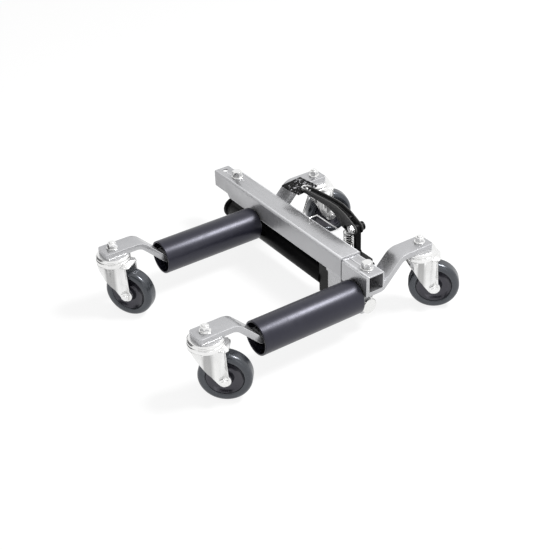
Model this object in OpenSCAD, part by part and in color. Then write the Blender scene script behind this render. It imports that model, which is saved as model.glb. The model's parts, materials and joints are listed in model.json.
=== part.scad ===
// Vehicle positioning jack, drawn closed: a fixed roller arm and a sliding
// roller arm on a telescoping square beam, four swivel casters, a hydraulic
// ram under the beam and a foot pump behind it.
// Millimetres. X runs from the fixed arm to the sliding arm, -Y is the roller
// side, Z is up from the floor.

/* [Beam] */
// Height of the beam centre line above the floor
beam_z = 117; // [110:0.5:130]
// Side length of the fixed square sleeve
sleeve_size = 47; // [44:0.5:56]
// Wall thickness of the sleeve
sleeve_wall = 4.2; // [3:0.1:5]
// Corner radius of the sleeve
sleeve_corner = 5; // [3:0.5:6]
// Corner radius of the sliding tube
tube_corner = 3; // [1:0.5:4]
// Gap on each side between the sleeve and the sliding tube
slide_gap = 0.3; // [0.2:0.05:0.6]
// Wall thickness of the sliding tube
tube_wall = 3; // [2:0.1:4]
// Left end of the sleeve, from the middle of the arms
sleeve_left = 286; // [260:1:310]
// Right end of the sleeve, from the middle of the arms
sleeve_right = 126.5; // [110:0.5:130]
// Width of the cut at the lower left corner of the sleeve
sleeve_cut_x = 16; // [8:1:24]
// Height of the cut at the lower left corner of the sleeve
sleeve_cut_z = 22; // [10:1:30]
// Left end of the sliding tube, from the middle of the arms
tube_left = 334.6; // [315:0.2:360]
// Right end of the sliding tube, from the middle of the arms
tube_right = 205.5; // [196:0.5:220]
// Length the sliding arm can travel outward
slide_travel = 220; // [150:5:230]
// Diameter of the pin hole through the left end of the sliding tube
pin_hole_d = 12.5; // [10:0.5:16]
// Pin hole centre to the left end of the sliding tube
pin_hole_inset = 14.3; // [10:0.1:24]

/* [Arms] */
// Each arm centre line to the middle of the machine, closed
arm_x = 172.8; // [165:0.2:185]
// Width of the flat bar
bar_width = 40; // [34:1:44]
// Thickness of the flat bar
bar_thick = 12; // [8:0.5:13]
// Height of the raised ends of the bar, at mid thickness
bar_high_z = 136.5; // [130:0.5:140]
// Slope of the bent part in degrees
bar_slope = 45; // [38:1:50]
// Centre line radius of the upper bends
bend_r = 28; // [16:1:32]
// Centre line radius of the lower bends
root_bend_r = 14; // [10:1:16]
// Straight end of the front bar against its roller shaft
bar_tail = 4.6; // [1:0.2:6]
// Height of that straight end's centre line above the roller shaft axis
bar_lift = 4; // [0:0.5:5]
// Rear bend corner to the beam centre line
rear_bend_y = 75.5; // [70:0.5:84]
// Length of front bar inside the roller mouth
bar_tuck = 14; // [14:1:20]
// Gap between the rear bar and the sleeve above it
rear_gap = 0.5; // [0.2:0.1:1.5]
// Front end of the rear bar, in front of the beam centre line
rear_root = 14; // [13:0.5:16]
// Cut under the front end of the rear bar
root_cut = 8; // [3:1:10]
// Bar past the front caster pin
front_overhang = 22; // [16:1:28]
// Bar past the rear caster pin
rear_overhang = 18; // [14:1:26]
// Corner cut on the bar ends
bar_corner = 3; // [2:1:10]

/* [Rollers] */
// Roller diameter
roller_d = 68.5; // [60:0.5:72]
// Gap between the fixed roller shaft and the sleeve above it
shaft_gap = 2.3; // [1.5:0.1:4]
// Roller wall
roller_wall = 3.5; // [2.5:0.5:5]
// Open roller end to the beam centre line
roller_front_y = 252.3; // [240:0.1:262]
// Gap between the closed roller end and the sleeve
roller_gap = 1.4; // [0.8:0.1:3]
// Rounding of the closed roller end
roller_round = 6; // [2:0.5:8]
// Thickness of the closed roller end
roller_cap = 5; // [3:0.5:8]
// Diameter of the fixed roller shaft
shaft_d = 20; // [14:1:26]
// Radial running clearance of every turning fit
running_gap = 0.05; // [0.02:0.01:0.09]
// Radial gap of a hole that only passes a shaft
pass_gap = 0.6; // [0.4:0.1:1.5]
// Length of each roller bearing
bearing_len = 18; // [12:1:26]
// Open roller end to the first bearing
bearing_recess = 28; // [20:1:40]

/* [Casters] */
// Wheel diameter
wheel_d = 100; // [90:1:104]
// Wheel width
wheel_w = 31.4; // [26:0.2:34]
// Rounding of the tread edges
tread_round = 9; // [5:0.5:12]
// Tyre depth from tread to core
tyre_depth = 16; // [10:0.5:20]
// Swivel pin to wheel axle, level distance
trail = 31; // [26:0.5:36]
// Front caster pins to the beam centre line
front_pin_y = 354.7; // [346:0.1:366]
// Rear caster pins to the beam centre line
rear_pin_y = 132.1; // [124:0.1:142]
// Turn of the front left caster in degrees
turn_front_left = 33.9; // [20:0.1:60]
// Turn of the front right caster in degrees
turn_front_right = 50.4; // [30:0.1:60]
// Turn of the rear right caster in degrees
turn_rear_right = 49.1; // [30:0.1:60]
// Turn of the rear left caster in degrees
turn_rear_left = 71.5; // [60:0.1:80]
// Diameter of the upper race
race_d = 66; // [58:1:72]
// Diameter of the lower race
head_d = 69; // [60:1:76]
// Height of the bottom of the fork crown
crown_z = 110; // [108:0.5:112]
// Gap between the two races
race_gap = 0.5; // [0.3:0.1:1]
// Thickness of the fork legs
leg_t = 3; // [2:0.5:4]
// Gap between wheel hub and fork leg
hub_gap = 0.8; // [0.4:0.1:1.5]
// Radius of the fork leg round the axle
leg_eye_r = 13; // [10:0.5:15]
// Swivel pin to the fold where the round fork front turns into a flat leg
fold_x = 11; // [6:1:16]
// Swivel pin to the rear lip of the fork crown
lip_x = 42; // [36:1:46]
// Swivel pin diameter
pin_d = 12; // [10:1:14]
// Axle bolt diameter
axle_d = 10; // [8:1:12]

/* [Ram] */
// Height of the ram axis
ram_z = 54.5; // [48:0.5:54.5]
// Outside diameter of the ram barrel
ram_d = 43; // [36:1:44]
// Wall of the ram barrel
ram_wall = 4.5; // [3:0.5:6]
// Left end of the ram barrel, from the middle of the arms
ram_left = 290; // [280:1:300]
// Diameter of the ram end cap
cap_d = 46; // [44:1:50]
// Length of the ram end cap
cap_len = 12; // [8:1:18]
// Ram rod diameter
rod_d = 20; // [14:1:24]
// Diameter of the nut on the rod end
rod_nut_d = 32; // [28:1:40]
// Length of the nut on the rod end
rod_nut_len = 14; // [8:1:20]
// Thickness of the plate that the rod end is held in
lug_t = 12; // [8:1:16]
// Bottom of the rod end plate above the floor
lug_bottom = 33; // [28:1:40]

/* [Pump] */
// Left face of the pump block, from the middle of the arms
block_left = 49; // [44:1:60]
// Right face of the pump block, from the middle of the arms
block_right = 126; // [112:1:126]
// Front face of the pump block to the beam centre line
block_front = 18.3; // [16:0.5:21]
// Rear face of the pump block to the beam centre line
block_rear = 60; // [58:1:64]
// Bottom of the pump block above the floor
block_bottom = 20; // [16:1:28]
// Top of the raised rear part of the pump block
block_top = 103; // [98:1:106]
// Top of the raised right end of the pump block
block_shoulder = 110; // [106:1:114]
// Left edge of the raised right end, from the middle of the arms
shoulder_left = 92; // [88:1:100]
// Corner cut on the pump block
block_cut = 5; // [2:0.5:8]
// Pump and pedal centre plane behind the beam centre line
pump_y = 52; // [49:1:54]
// Pump plunger, from the middle of the arms
plunger_x = 54; // [52:1:60]
// Plunger rod diameter
plunger_d = 10; // [8:0.5:10]
// Plunger bore boss diameter
boss_d = 17; // [14:0.5:17.5]
// Plunger bore boss height above the block
boss_h = 8; // [4:1:12]
// Top of the plunger spring above the floor
spring_top = 134; // [126:1:138]
// Spring coil mean diameter
spring_d = 21; // [19.5:0.1:22]
// Spring wire diameter
wire_d = 2; // [1.4:0.1:2.2]
// Number of spring curls
spring_turns = 5.5; // [4:0.5:6.5]

/* [Pedal] */
// Pedal pivot, from the middle of the arms
pivot_x = 76; // [74:1:84]
// Height of the pedal pivot
pivot_z = 157; // [154:1:162]
// Pedal pivot bolt diameter
pivot_d = 10; // [8:1:12]
// Outside width of the pedal channel
lever_w = 18; // [16:0.5:20]
// Wall of the pedal channel
lever_wall = 2.4; // [2:0.1:3]
// Left end of the pedal channel, from the middle of the arms
lever_left = 100; // [94:1:106]
// Height of the pedal channel at its left end
lever_h = 8; // [6:0.5:12]
// Foot pad centre, from the middle of the arms
pad_x = 117; // [112:0.5:120]
// Foot pad centre behind the beam centre line
pad_y = 54.5; // [53:0.5:58]
// Foot pad side length
pad_size = 52; // [44:1:53]
// Foot pad thickness
pad_t = 4; // [3:0.5:6]
// Turn of the foot pad in degrees
pad_turn = 7; // [0:1:8]
// Height of the top of the foot pad
pad_z = 168; // [164:0.5:172]
// Thickness of the pedal stop rod
stop_d = 4.5; // [3:0.5:6]

/* [Hardware] */
// Swivel pin nut, size across flats
pin_nut_af = 16; // [15:1:22]
// Axle bolt head, size across flats
axle_nut_af = 17; // [15:1:19]
// Washer diameter of the beam bolts
washer_d = 25; // [22:1:28]
// Beam bolt of the sliding arm, from the arm centre line
tube_bolt_x = 4; // [0:1:8]
// Beam bolt head, size across flats
beam_bolt_af = 19; // [17:1:22]
// Height of the beam bolt heads
beam_bolt_h = 12; // [8:1:16]
// Gap between the sleeve end and the bracket of the sliding arm
bracket_gap = 2.2; // [1:0.1:3]
// Thickness of the sheet gussets on the front of the beam
gusset_t = 4.5; // [3:0.5:5]
// Bottom of the front gusset above the floor
gusset_bottom = 30; // [24:1:40]
// Left edge of the front gusset, from the middle of the arms
gusset_left = 85; // [78:1:95]
// Diameter of the keeper wire
keeper_d = 2.6; // [2:0.1:4]
// Foot of the keeper wire on the sleeve, left of the middle of the arms
keeper_left = 24; // [16:1:32]
// Free end of the keeper wire, right of the middle of the arms
keeper_right = 44; // [36:1:52]
// Foot of the keeper wire behind the beam centre line
keeper_foot = 12; // [8:1:16]
// Long run of the keeper wire behind the beam centre line
keeper_run = 31; // [28:1:36]
// Height of the long run above the sleeve
keeper_rise = 7; // [5:0.5:10]

/* [Hidden] */
$fn = 64;
fine = 8;
grey = [0.74, 0.75, 0.77];
zinc = [0.82, 0.83, 0.84];
black = [0.08, 0.08, 0.09];
charcoal = [0.22, 0.22, 0.24];

// Beam levels
sleeve_half = sleeve_size / 2;
sleeve_top = beam_z + sleeve_half;
sleeve_bottom = beam_z - sleeve_half;
tube_size = sleeve_size - 2 * sleeve_wall - 2 * slide_gap;
tube_half = tube_size / 2;
tube_top = beam_z + tube_half;
tube_bottom = beam_z - tube_half;
pin_hole_x = -tube_left + pin_hole_inset;
sleeve_bolt_x = -sleeve_left + washer_d / 2 + 2;

// Arm levels
half_t = bar_thick / 2;
half_w = bar_width / 2;
shaft_r = shaft_d / 2;
shaft_front_y = roller_front_y - bar_tuck;
roller_z = sleeve_bottom - shaft_gap - shaft_r;
rear_top = sleeve_bottom - rear_gap;
rear_low_z = rear_top - half_t;
bar_top = bar_high_z + half_t;
bar_bottom = bar_high_z - half_t;
front_low_z = roller_z + bar_lift;
bar_run = (bar_high_z - front_low_z) / tan(bar_slope);
bend_len = bend_r * tan(bar_slope / 2);
root_bend_len = root_bend_r * tan(bar_slope / 2);
front_low_y = shaft_front_y + bar_tail + root_bend_len;
front_bend_y = front_low_y + bar_run;
rear_run = (bar_high_z - rear_low_z) / tan(bar_slope);
rear_low_y = rear_bend_y - rear_run;
socket_left = 13;
socket_right = 5;
socket_bottom = roller_z - shaft_r - 0.2;
roller_r = roller_d / 2;
roller_bore_r = roller_r - roller_wall;
roller_back_y = sleeve_half + roller_gap;

// Caster levels
wheel_r = wheel_d / 2;
wheel_half = wheel_w / 2;
core_r = wheel_r - tyre_depth;
race_r = race_d / 2;
head_r = head_d / 2;
race_h = 5.9;
head_top = bar_bottom - race_h - race_gap;
hub_half = wheel_half + 2.5;
leg_in = hub_half + hub_gap;
leg_out = leg_in + leg_t;
leg_back = trail + 5.5;
eye_from = 219;
eye_to = 408;
skirt_r = head_r - 0.3;
fold_turn = 98;
lip_t = 4;
lip_round = 8;
pin_r = pin_d / 2;
axle_r = axle_d / 2;
washer_t = 2;
pin_nut_h = 9.5;
axle_head_h = 5;
hex_grow = 2 / sqrt(3);

// Ram and pump levels
ram_r = ram_d / 2;
ram_bore_r = ram_r - ram_wall;
rod_r = rod_d / 2;
piston_len = 14;
weld_w = 30;
weld_deep = 15.5;
piston_x = block_left - slide_travel - piston_len - 10;
lug_x = arm_x - lug_t + 2;
lug_half = rear_root;
lug_round = 6;
lug_top = rear_low_z - half_t;
plunger_r = plunger_d / 2;
bore_deep = 40;
plunger_deep = 30;
seat_h = 3;
seat_d = 23;
lift_pin_z = pivot_z - 5;
lift_pin_r = 4;
touch_gap = 0.3;
plunger_top = lift_pin_z - lift_pin_r - touch_gap;
pivot_r = pivot_d / 2;
lever_rise = 18;
crest_left = 1;
crest_right = 25;
shoulder_x = 50;
shoulder_rise = 13;
tower_t = lever_w - 2 * lever_wall - 2 * touch_gap;
tower_half_x = 9;
cheek_r = 13;

// Outline limits, so that the origin sits under the middle of the machine
function tread_reach(turn) =
    (wheel_r - tread_round) * abs(cos(turn)) + (wheel_half - tread_round) * abs(sin(turn)) + tread_round;
reach_front_right = trail * cos(turn_front_right) + tread_reach(turn_front_right);
reach_rear_right = trail * cos(turn_rear_right) + tread_reach(turn_rear_right);
box_right = arm_x + max(reach_front_right, reach_rear_right);
box_left = -tube_left;
reach_rear_left = trail * sin(turn_rear_left) + tread_reach(90 - turn_rear_left);
reach_back_right = trail * sin(turn_rear_right) + tread_reach(90 - turn_rear_right);
box_back = rear_pin_y + max(reach_rear_left, reach_back_right);
box_front = -front_pin_y - head_r;
shift_x = -(box_left + box_right) / 2;
shift_y = -(box_front + box_back) / 2;
echo(shift = [shift_x, shift_y], box = [box_right - box_left, box_back - box_front]);

echo(spring_gap = (spring_top - block_top - 2 * touch_gap - wire_d) / spring_turns - wire_d);

module placed() {
    translate([shift_x, shift_y, 0]) children();
}

// Points on an arc, for outlines
function arc(cx, cy, r, from, to, n = fine) = [
    for (i = [0 : n]) let (a = from + (to - from) * i / n) [cx + r * cos(a), cy + r * sin(a)]
];

// Shapes shared by several pieces

// Rounded square outline, centred
module soft_square(size, corner) {
    half = size / 2 - corner;
    polygon(concat(
        arc(half, half, corner, 0, 90),
        arc(-half, half, corner, 90, 180),
        arc(-half, -half, corner, 180, 270),
        arc(half, -half, corner, 270, 360)
    ));
}

// Square tube along X between two ends
module square_tube(size, wall, corner, x0, x1) {
    translate([x0, 0, beam_z]) rotate([90, 0, 90]) difference() {
        linear_extrude(x1 - x0) soft_square(size, corner);
        translate([0, 0, -1]) linear_extrude(x1 - x0 + 2) square(size - 2 * wall, center = true);
    }
}

// Side outline of a bent bar: high at its free end, low at its root
function bar_outline(free, high, low, root, low_z, cut) = concat(
    [[free, bar_top]],
    arc(high - bend_len, bar_high_z - bend_r, bend_r + half_t, 90, 90 - bar_slope),
    arc(low + root_bend_len, low_z + root_bend_r, root_bend_r - half_t, 270 - bar_slope, 270),
    [[root, low_z + half_t], [root, low_z - half_t + cut], [root - cut, low_z - half_t]],
    arc(low + root_bend_len, low_z + root_bend_r, root_bend_r + half_t, 270, 270 - bar_slope),
    arc(high - bend_len, bar_high_z - bend_r, bend_r - half_t, 90 - bar_slope, 90),
    [[free, bar_bottom]]
);

// Cuts the corners of a bar's free end and drills its pin hole
module bar_end(x, free, root, pin_y) {
    difference() {
        intersection() {
            translate([x - half_w, 0, 0]) rotate([90, 0, 90]) linear_extrude(bar_width) children();
            translate([x, 0, 0]) linear_extrude(bar_top + 1) polygon([
                [-half_w - 1, root + 1],
                [half_w + 1, root + 1],
                [half_w + 1, free + bar_corner + 1],
                [half_w - bar_corner, free],
                [-half_w + bar_corner, free],
                [-half_w - 1, free + bar_corner + 1]
            ]);
        }
        translate([x, pin_y, bar_bottom - 1]) cylinder(h = bar_thick + 2, r = pin_r + running_gap);
    }
}

module front_bar(x) {
    free = -front_pin_y - front_overhang;
    root = -shaft_front_y;
    bar_end(x, free, root, -front_pin_y)
        polygon(bar_outline(free, -front_bend_y, -front_low_y, root, front_low_z, 1));
}

module rear_bar(x) {
    free = -rear_pin_y - rear_overhang;
    mirror([0, 1, 0]) bar_end(x, free, rear_root, -rear_pin_y)
        polygon(bar_outline(free, -rear_bend_y, -rear_low_y, rear_root, rear_low_z, root_cut));
}

// Block that holds the root of a roller shaft under the beam
module shaft_socket(x, top) {
    difference() {
        translate([x - socket_left, -sleeve_half, socket_bottom])
            cube([socket_left + socket_right, sleeve_half - rear_root, top - socket_bottom]);
        translate([x, -rear_root, roller_z]) rotate([90, 0, 0]) cylinder(h = sleeve_half, r = shaft_r);
    }
}

module roller_shaft(x) {
    translate([x, -rear_root, roller_z]) rotate([90, 0, 0])
        cylinder(h = shaft_front_y - rear_root, r = shaft_r);
}

// Hollow roller, open at the front, closed and rounded at the back
module roller(x) {
    len = roller_front_y - roller_back_y;
    pass_r = shaft_r + pass_gap;
    translate([x, -roller_back_y, roller_z]) rotate([90, 0, 0]) rotate_extrude() polygon(concat(
        [[pass_r, 0]],
        arc(roller_r - roller_round, roller_round, roller_round, -90, 0),
        [[roller_r, len - 1], [roller_r - 1, len], [roller_bore_r, len]],
        [[roller_bore_r, roller_cap], [pass_r, roller_cap]]
    ));
}

// Ring of one roller bearing, placed by its distance from the beam
module bearing_ring(x, y) {
    translate([x, -y, roller_z]) rotate([90, 0, 0]) difference() {
        cylinder(h = bearing_len, r = roller_bore_r);
        translate([0, 0, -1]) cylinder(h = bearing_len + 2, r = shaft_r + running_gap);
    }
}

module bearings(x) {
    bearing_ring(x, roller_back_y + roller_cap);
    bearing_ring(x, roller_front_y - bearing_recess - bearing_len);
}

module hex(af, h) {
    cylinder(h = h, r = af / 2 * hex_grow, $fn = 6);
}

// Caster pieces, in a frame with the swivel pin on Z and the wheel behind on X
module caster_at(x, y, turn) {
    placed() translate([x, y, 0]) rotate([0, 0, turn]) children();
}

module kingpin() {
    flange_top = crown_z - touch_gap;
    translate([0, 0, flange_top - 3]) cylinder(h = 3, r = pin_r + 4);
    translate([0, 0, flange_top - 3])
        cylinder(h = bar_top + washer_t + pin_nut_h + 5 - flange_top, r = pin_r);
    translate([0, 0, bar_top]) cylinder(h = washer_t, r = pin_nut_af / 2 + 3);
    translate([0, 0, bar_top + washer_t]) hex(pin_nut_af, pin_nut_h);
}

module top_race() {
    low = bar_bottom - race_h;
    rotate_extrude() polygon([
        [pin_r + running_gap, bar_bottom],
        [race_r - 2, bar_bottom],
        [race_r, bar_bottom - 2],
        [race_r, low],
        [race_r - 5, low],
        [race_r - 7, low + 2],
        [pin_r + running_gap, low + 2]
    ]);
}

// Level section of the fork: round front, folded in to two flat legs
function fork_line(r, leg, fold, front, back) = concat(
    [[back, leg], [fold, leg]],
    arc(0, 0, r, front, 360 - front, 2 * fine),
    [[fold, -leg], [back, -leg]]
);

module fork_section() {
    difference() {
        polygon(fork_line(skirt_r, leg_out, fold_x, fold_turn, lip_x));
        polygon(fork_line(skirt_r - leg_t, leg_in, fold_x - leg_t / 3, fold_turn + 2, lip_x + 1));
    }
}

module fork() {
    difference() {
        union() {
            rotate_extrude() polygon([
                [pin_r + running_gap, crown_z],
                [head_r - 4, crown_z],
                [head_r, crown_z + 3.5],
                [head_r, crown_z + 8.5],
                [race_r - 6, head_top],
                [pin_r + running_gap, head_top]
            ]);
            intersection() {
                linear_extrude(crown_z + lip_t) fork_section();
                translate([0, leg_out + head_r, 0]) rotate([90, 0, 0])
                linear_extrude(2 * (leg_out + head_r)) polygon(concat(
                    [[-head_r - 1, crown_z + lip_t], [-head_r - 1, crown_z + 3]],
                    [[10 - head_r, crown_z + 2.6], [fold_x - 14, wheel_r + 34], [fold_x + 1, wheel_r + 3]],
                    arc(trail, wheel_r, leg_eye_r, eye_from, eye_to, 12),
                    [[leg_back, crown_z + lip_t]]
                ));
            }
            translate([0, 0, crown_z + 1]) linear_extrude(lip_t) polygon(concat(
                [[0, leg_out]],
                arc(lip_x - lip_round, leg_out - lip_round, lip_round, 90, 0),
                arc(lip_x - lip_round, lip_round - leg_out, lip_round, 0, -90),
                [[0, -leg_out]]
            ));
        }
        translate([0, 0, crown_z - 1]) cylinder(h = head_top - crown_z + 2, r = pin_r + running_gap);
        translate([trail, leg_out + 1, wheel_r]) rotate([90, 0, 0])
            cylinder(h = 2 * leg_out + 2, r = axle_r + running_gap);
    }
}

module axle() {
    translate([trail, 0, wheel_r]) rotate([90, 0, 0]) {
        translate([0, 0, -leg_out - axle_head_h]) hex(axle_nut_af, axle_head_h);
        translate([0, 0, -leg_out - 1]) cylinder(h = 2 * leg_out + axle_head_h + 4, r = axle_r);
        translate([0, 0, leg_out]) hex(axle_nut_af, axle_head_h);
    }
}

module tyre() {
    edge = wheel_half - tread_round;
    translate([trail, 0, wheel_r]) rotate([90, 0, 0]) rotate_extrude($fn = 96) polygon(concat(
        [[core_r, -wheel_half + 2], [core_r + 2, -wheel_half]],
        arc(wheel_r - tread_round, -edge, tread_round, -90, 0),
        arc(wheel_r - tread_round, edge, tread_round, 0, 90),
        [[core_r + 2, wheel_half], [core_r, wheel_half - 2]]
    ));
}

module core() {
    rim_in = core_r - 6;
    hub_r = axle_r + 8;
    web = 5;
    rim_half = wheel_half - 2;
    bore = axle_r + running_gap;
    translate([trail, 0, wheel_r]) rotate([90, 0, 0]) rotate_extrude($fn = 96) polygon([
        [bore, -hub_half], [hub_r - 1, -hub_half], [hub_r, -hub_half + 1],
        [hub_r + 2, -web], [rim_in, -web - 1], [rim_in + 1.5, -rim_half], [core_r, -rim_half],
        [core_r, rim_half], [rim_in + 1.5, rim_half], [rim_in, web + 1], [hub_r + 2, web],
        [hub_r, hub_half - 1], [hub_r - 1, hub_half], [bore, hub_half]
    ]);
}

// Helical wire: rings of points joined into one tube with closed ends
function ring(angle, z, mean_r, r) = [
    for (k = [0 : 5]) let (reach = mean_r + r * cos(k * 60))
        [reach * cos(angle), reach * sin(angle), z + r * sin(k * 60)]
];

module coil(mean_r, r, h, turns) {
    steps = ceil(turns * 8);
    rise = h - 2 * r;
    points = [for (i = [0 : steps]) each ring(i * 45, r + rise * i / steps, mean_r, r)];
    sides = [for (i = [0 : steps - 1], k = [0 : 5]) each [
        [i * 6 + k, (i + 1) * 6 + k, (i + 1) * 6 + (k + 1) % 6],
        [i * 6 + k, (i + 1) * 6 + (k + 1) % 6, i * 6 + (k + 1) % 6]
    ]];
    ends = [[for (k = [0 : 5]) k], [for (k = [5 : -1 : 0]) steps * 6 + k]];
    polyhedron(points = points, faces = concat(sides, ends));
}

// Fixed side: beam, arm, ram and pump

module outer_sleeve() {
    color(grey) placed() difference() {
        square_tube(sleeve_size, sleeve_wall, sleeve_corner, -sleeve_left, sleeve_right);
        translate([-sleeve_left, sleeve_size, sleeve_bottom]) rotate([90, 0, 0])
        linear_extrude(2 * sleeve_size) polygon([
            [-1, -1], [sleeve_cut_x + 0.7, -1], [-1, sleeve_cut_z + 1.4]
        ]);
        translate([sleeve_bolt_x, 0, beam_z]) cylinder(h = sleeve_size, r = axle_r + running_gap);
    }
}

module front_gusset() {
    round = 6;
    color(grey) placed() translate([0, -block_front, 0]) rotate([90, 0, 0])
    linear_extrude(sleeve_half - block_front) polygon(concat(
        [[sleeve_right, gusset_bottom], [sleeve_right, sleeve_bottom], [gusset_left - round, sleeve_bottom]],
        arc(gusset_left - round, sleeve_bottom - round, round, 90, 0),
        [[gusset_left, gusset_bottom]]
    ));
}

module left_saddle() {
    rise = sleeve_bottom - rear_top;
    color(grey) placed() union() {
        shaft_socket(-arm_x, sleeve_bottom);
        translate([-arm_x - half_w, -rear_root, rear_top]) cube([bar_width, sleeve_half, rise]);
    }
}

module left_front_arm() {
    color(grey) placed() front_bar(-arm_x);
}

module left_rear_arm() {
    color(grey) placed() rear_bar(-arm_x);
}

module left_roller_shaft() {
    color(zinc) placed() roller_shaft(-arm_x);
}

module ram_barrel() {
    color(black) placed() difference() {
        union() {
            translate([-ram_left, 0, ram_z]) rotate([0, 90, 0])
                cylinder(h = ram_left + block_left, r = ram_r);
            translate([-arm_x - weld_w / 2, 0, ram_z]) cube([weld_w, weld_deep, lug_top - ram_z]);
        }
        translate([-ram_left - 1, 0, ram_z]) rotate([0, 90, 0])
            cylinder(h = ram_left + block_left + 2, r = ram_bore_r);
    }
}

module ram_cap() {
    color(black) placed() translate([-ram_left - cap_len, 0, ram_z]) rotate([0, 90, 0])
    rotate_extrude() polygon([
        [0, 0], [cap_d / 2 - 3, 0], [cap_d / 2, 3], [cap_d / 2, cap_len], [0, cap_len]
    ]);
}

module pump_block() {
    wide = block_right - block_left;
    shoulder_deep = block_rear - block_cut - sleeve_half - 1;
    color(black) placed() difference() {
        union() {
            translate([block_left, 0, 0]) rotate([90, 0, 90]) linear_extrude(wide) polygon([
                [-block_front, block_bottom + block_cut],
                [-block_front + block_cut, block_bottom],
                [block_rear - block_cut, block_bottom],
                [block_rear, block_bottom + block_cut],
                [block_rear, block_top - block_cut],
                [block_rear - block_cut, block_top],
                [sleeve_half + 1, block_top],
                [sleeve_half + 1, sleeve_bottom - 1.5],
                [-block_front, sleeve_bottom - 1.5]
            ]);
            translate([shoulder_left, sleeve_half + 1, block_top - 1])
                cube([block_right - shoulder_left, shoulder_deep, block_shoulder - block_top + 1]);
            translate([block_left + block_cut, 0, sleeve_bottom - 2])
                cube([wide - 2 * block_cut, sleeve_half - 2, 2]);
            translate([plunger_x, pump_y, block_top - 1]) cylinder(h = boss_h + 1, r = boss_d / 2);
        }
        translate([block_left - 1, 0, ram_z]) rotate([0, 90, 0])
            cylinder(h = wide + 2, r = rod_r + running_gap);
        translate([plunger_x, pump_y, block_top - bore_deep])
            cylinder(h = bore_deep + boss_h + 1, r = plunger_r + running_gap);
    }
}

module pump_tower() {
    left = pivot_x + 1;
    right = pivot_x + tower_half_x;
    knee = pivot_z - 2 * tower_half_x;
    color(black) placed() difference() {
        translate([0, pump_y + tower_t / 2, 0]) rotate([90, 0, 0]) linear_extrude(tower_t) polygon(concat(
            [[left - 3, block_top], [right + 6, block_top], [right, block_top + 8]],
            arc(pivot_x, pivot_z, tower_half_x, 0, 180),
            [[left, knee], [left, block_top + 6]]
        ));
        translate([pivot_x, pump_y + lever_w, pivot_z]) rotate([90, 0, 0])
            cylinder(h = 2 * lever_w, r = pivot_r);
    }
}

module pedal_pivot() {
    half = lever_w / 2 + touch_gap;
    color(black) placed() translate([pivot_x, pump_y, pivot_z]) rotate([90, 0, 0]) {
        translate([0, 0, -half - 9]) cylinder(h = 2 * half + 15, r = pivot_r);
        translate([0, 0, half]) hex(beam_bolt_af - 2, 6);
        translate([0, 0, -half - 8]) cylinder(h = 8, r = pivot_r + 4);
    }
}

module sleeve_bolt() {
    color(zinc) placed() translate([sleeve_bolt_x, 0, sleeve_top]) {
        translate([0, 0, -sleeve_wall + touch_gap]) cylinder(h = sleeve_wall, r = axle_r);
        cylinder(h = washer_t, r = washer_d / 2);
        translate([0, 0, washer_t]) hex(beam_bolt_af, beam_bolt_h);
    }
}

module keeper_wire() {
    keeper_r = keeper_d / 2;
    high = sleeve_top + keeper_rise;
    color(zinc) placed() {
        translate([-keeper_left, keeper_foot, sleeve_top]) cylinder(h = keeper_rise, r = keeper_r);
        translate([-keeper_left, keeper_foot, high]) sphere(r = keeper_r);
        translate([-keeper_left, keeper_run, high]) rotate([90, 0, 0])
            cylinder(h = keeper_run - keeper_foot, r = keeper_r);
        translate([-keeper_left, keeper_run, high]) sphere(r = keeper_r);
        translate([-keeper_left, keeper_run, high]) rotate([0, 90, 0])
            cylinder(h = keeper_left + keeper_right, r = keeper_r);
        translate([keeper_right, keeper_run, high]) sphere(r = keeper_r);
    }
}

// Sliding side: tube, arm and ram rod

module inner_tube() {
    color(grey) placed() difference() {
        square_tube(tube_size, tube_wall, tube_corner, -tube_left, tube_right);
        translate([pin_hole_x, 0, tube_bottom - 1]) cylinder(h = tube_size + 2, r = pin_hole_d / 2);
        translate([arm_x + tube_bolt_x, 0, beam_z]) cylinder(h = tube_size, r = pin_r + running_gap);
    }
}

module right_bracket() {
    left = sleeve_right + bracket_gap;
    high = tube_top - sleeve_bottom - tube_corner / 4;
    color(grey) placed() translate([left, -sleeve_half, sleeve_bottom])
        cube([tube_right - left, sleeve_half - tube_half, high]);
}

module right_saddle() {
    color(grey) placed() union() {
        shaft_socket(arm_x, sleeve_bottom);
        translate([arm_x - half_w, -tube_half, rear_top])
            cube([bar_width, tube_size, tube_bottom - rear_top]);
    }
}

module right_front_arm() {
    color(grey) placed() front_bar(arm_x);
}

module right_rear_arm() {
    color(grey) placed() rear_bar(arm_x);
}

module right_roller_shaft() {
    color(zinc) placed() roller_shaft(arm_x);
}

module rod_lug() {
    color(grey) placed() difference() {
        translate([lug_x, 0, 0]) rotate([90, 0, 90]) linear_extrude(lug_t) polygon(concat(
            [[-lug_half, lug_top]],
            arc(-lug_half + lug_round, lug_bottom + lug_round, lug_round, 180, 270),
            arc(lug_half - lug_round, lug_bottom + lug_round, lug_round, 270, 360),
            [[lug_half, lug_top]]
        ));
        translate([lug_x - 1, 0, ram_z]) rotate([0, 90, 0]) cylinder(h = lug_t + 2, r = rod_r);
    }
}

module ram_rod() {
    color(zinc) placed() translate([0, 0, ram_z]) rotate([0, 90, 0]) {
        translate([0, 0, piston_x])
            cylinder(h = lug_x + lug_t + rod_nut_len - 2 - piston_x, r = rod_r);
        translate([0, 0, piston_x]) cylinder(h = piston_len, r = ram_bore_r - running_gap);
    }
}

module rod_nut() {
    nut_r = rod_nut_d / 2;
    edge = 1.5;
    cover = 2;
    color(zinc) placed() translate([lug_x + lug_t, 0, ram_z]) rotate([0, 90, 0]) rotate_extrude() polygon([
        [rod_r, 0], [nut_r, 0], [nut_r, rod_nut_len - edge], [nut_r - edge, rod_nut_len],
        [0, rod_nut_len], [0, rod_nut_len - cover], [rod_r, rod_nut_len - cover]
    ]);
}

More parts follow.
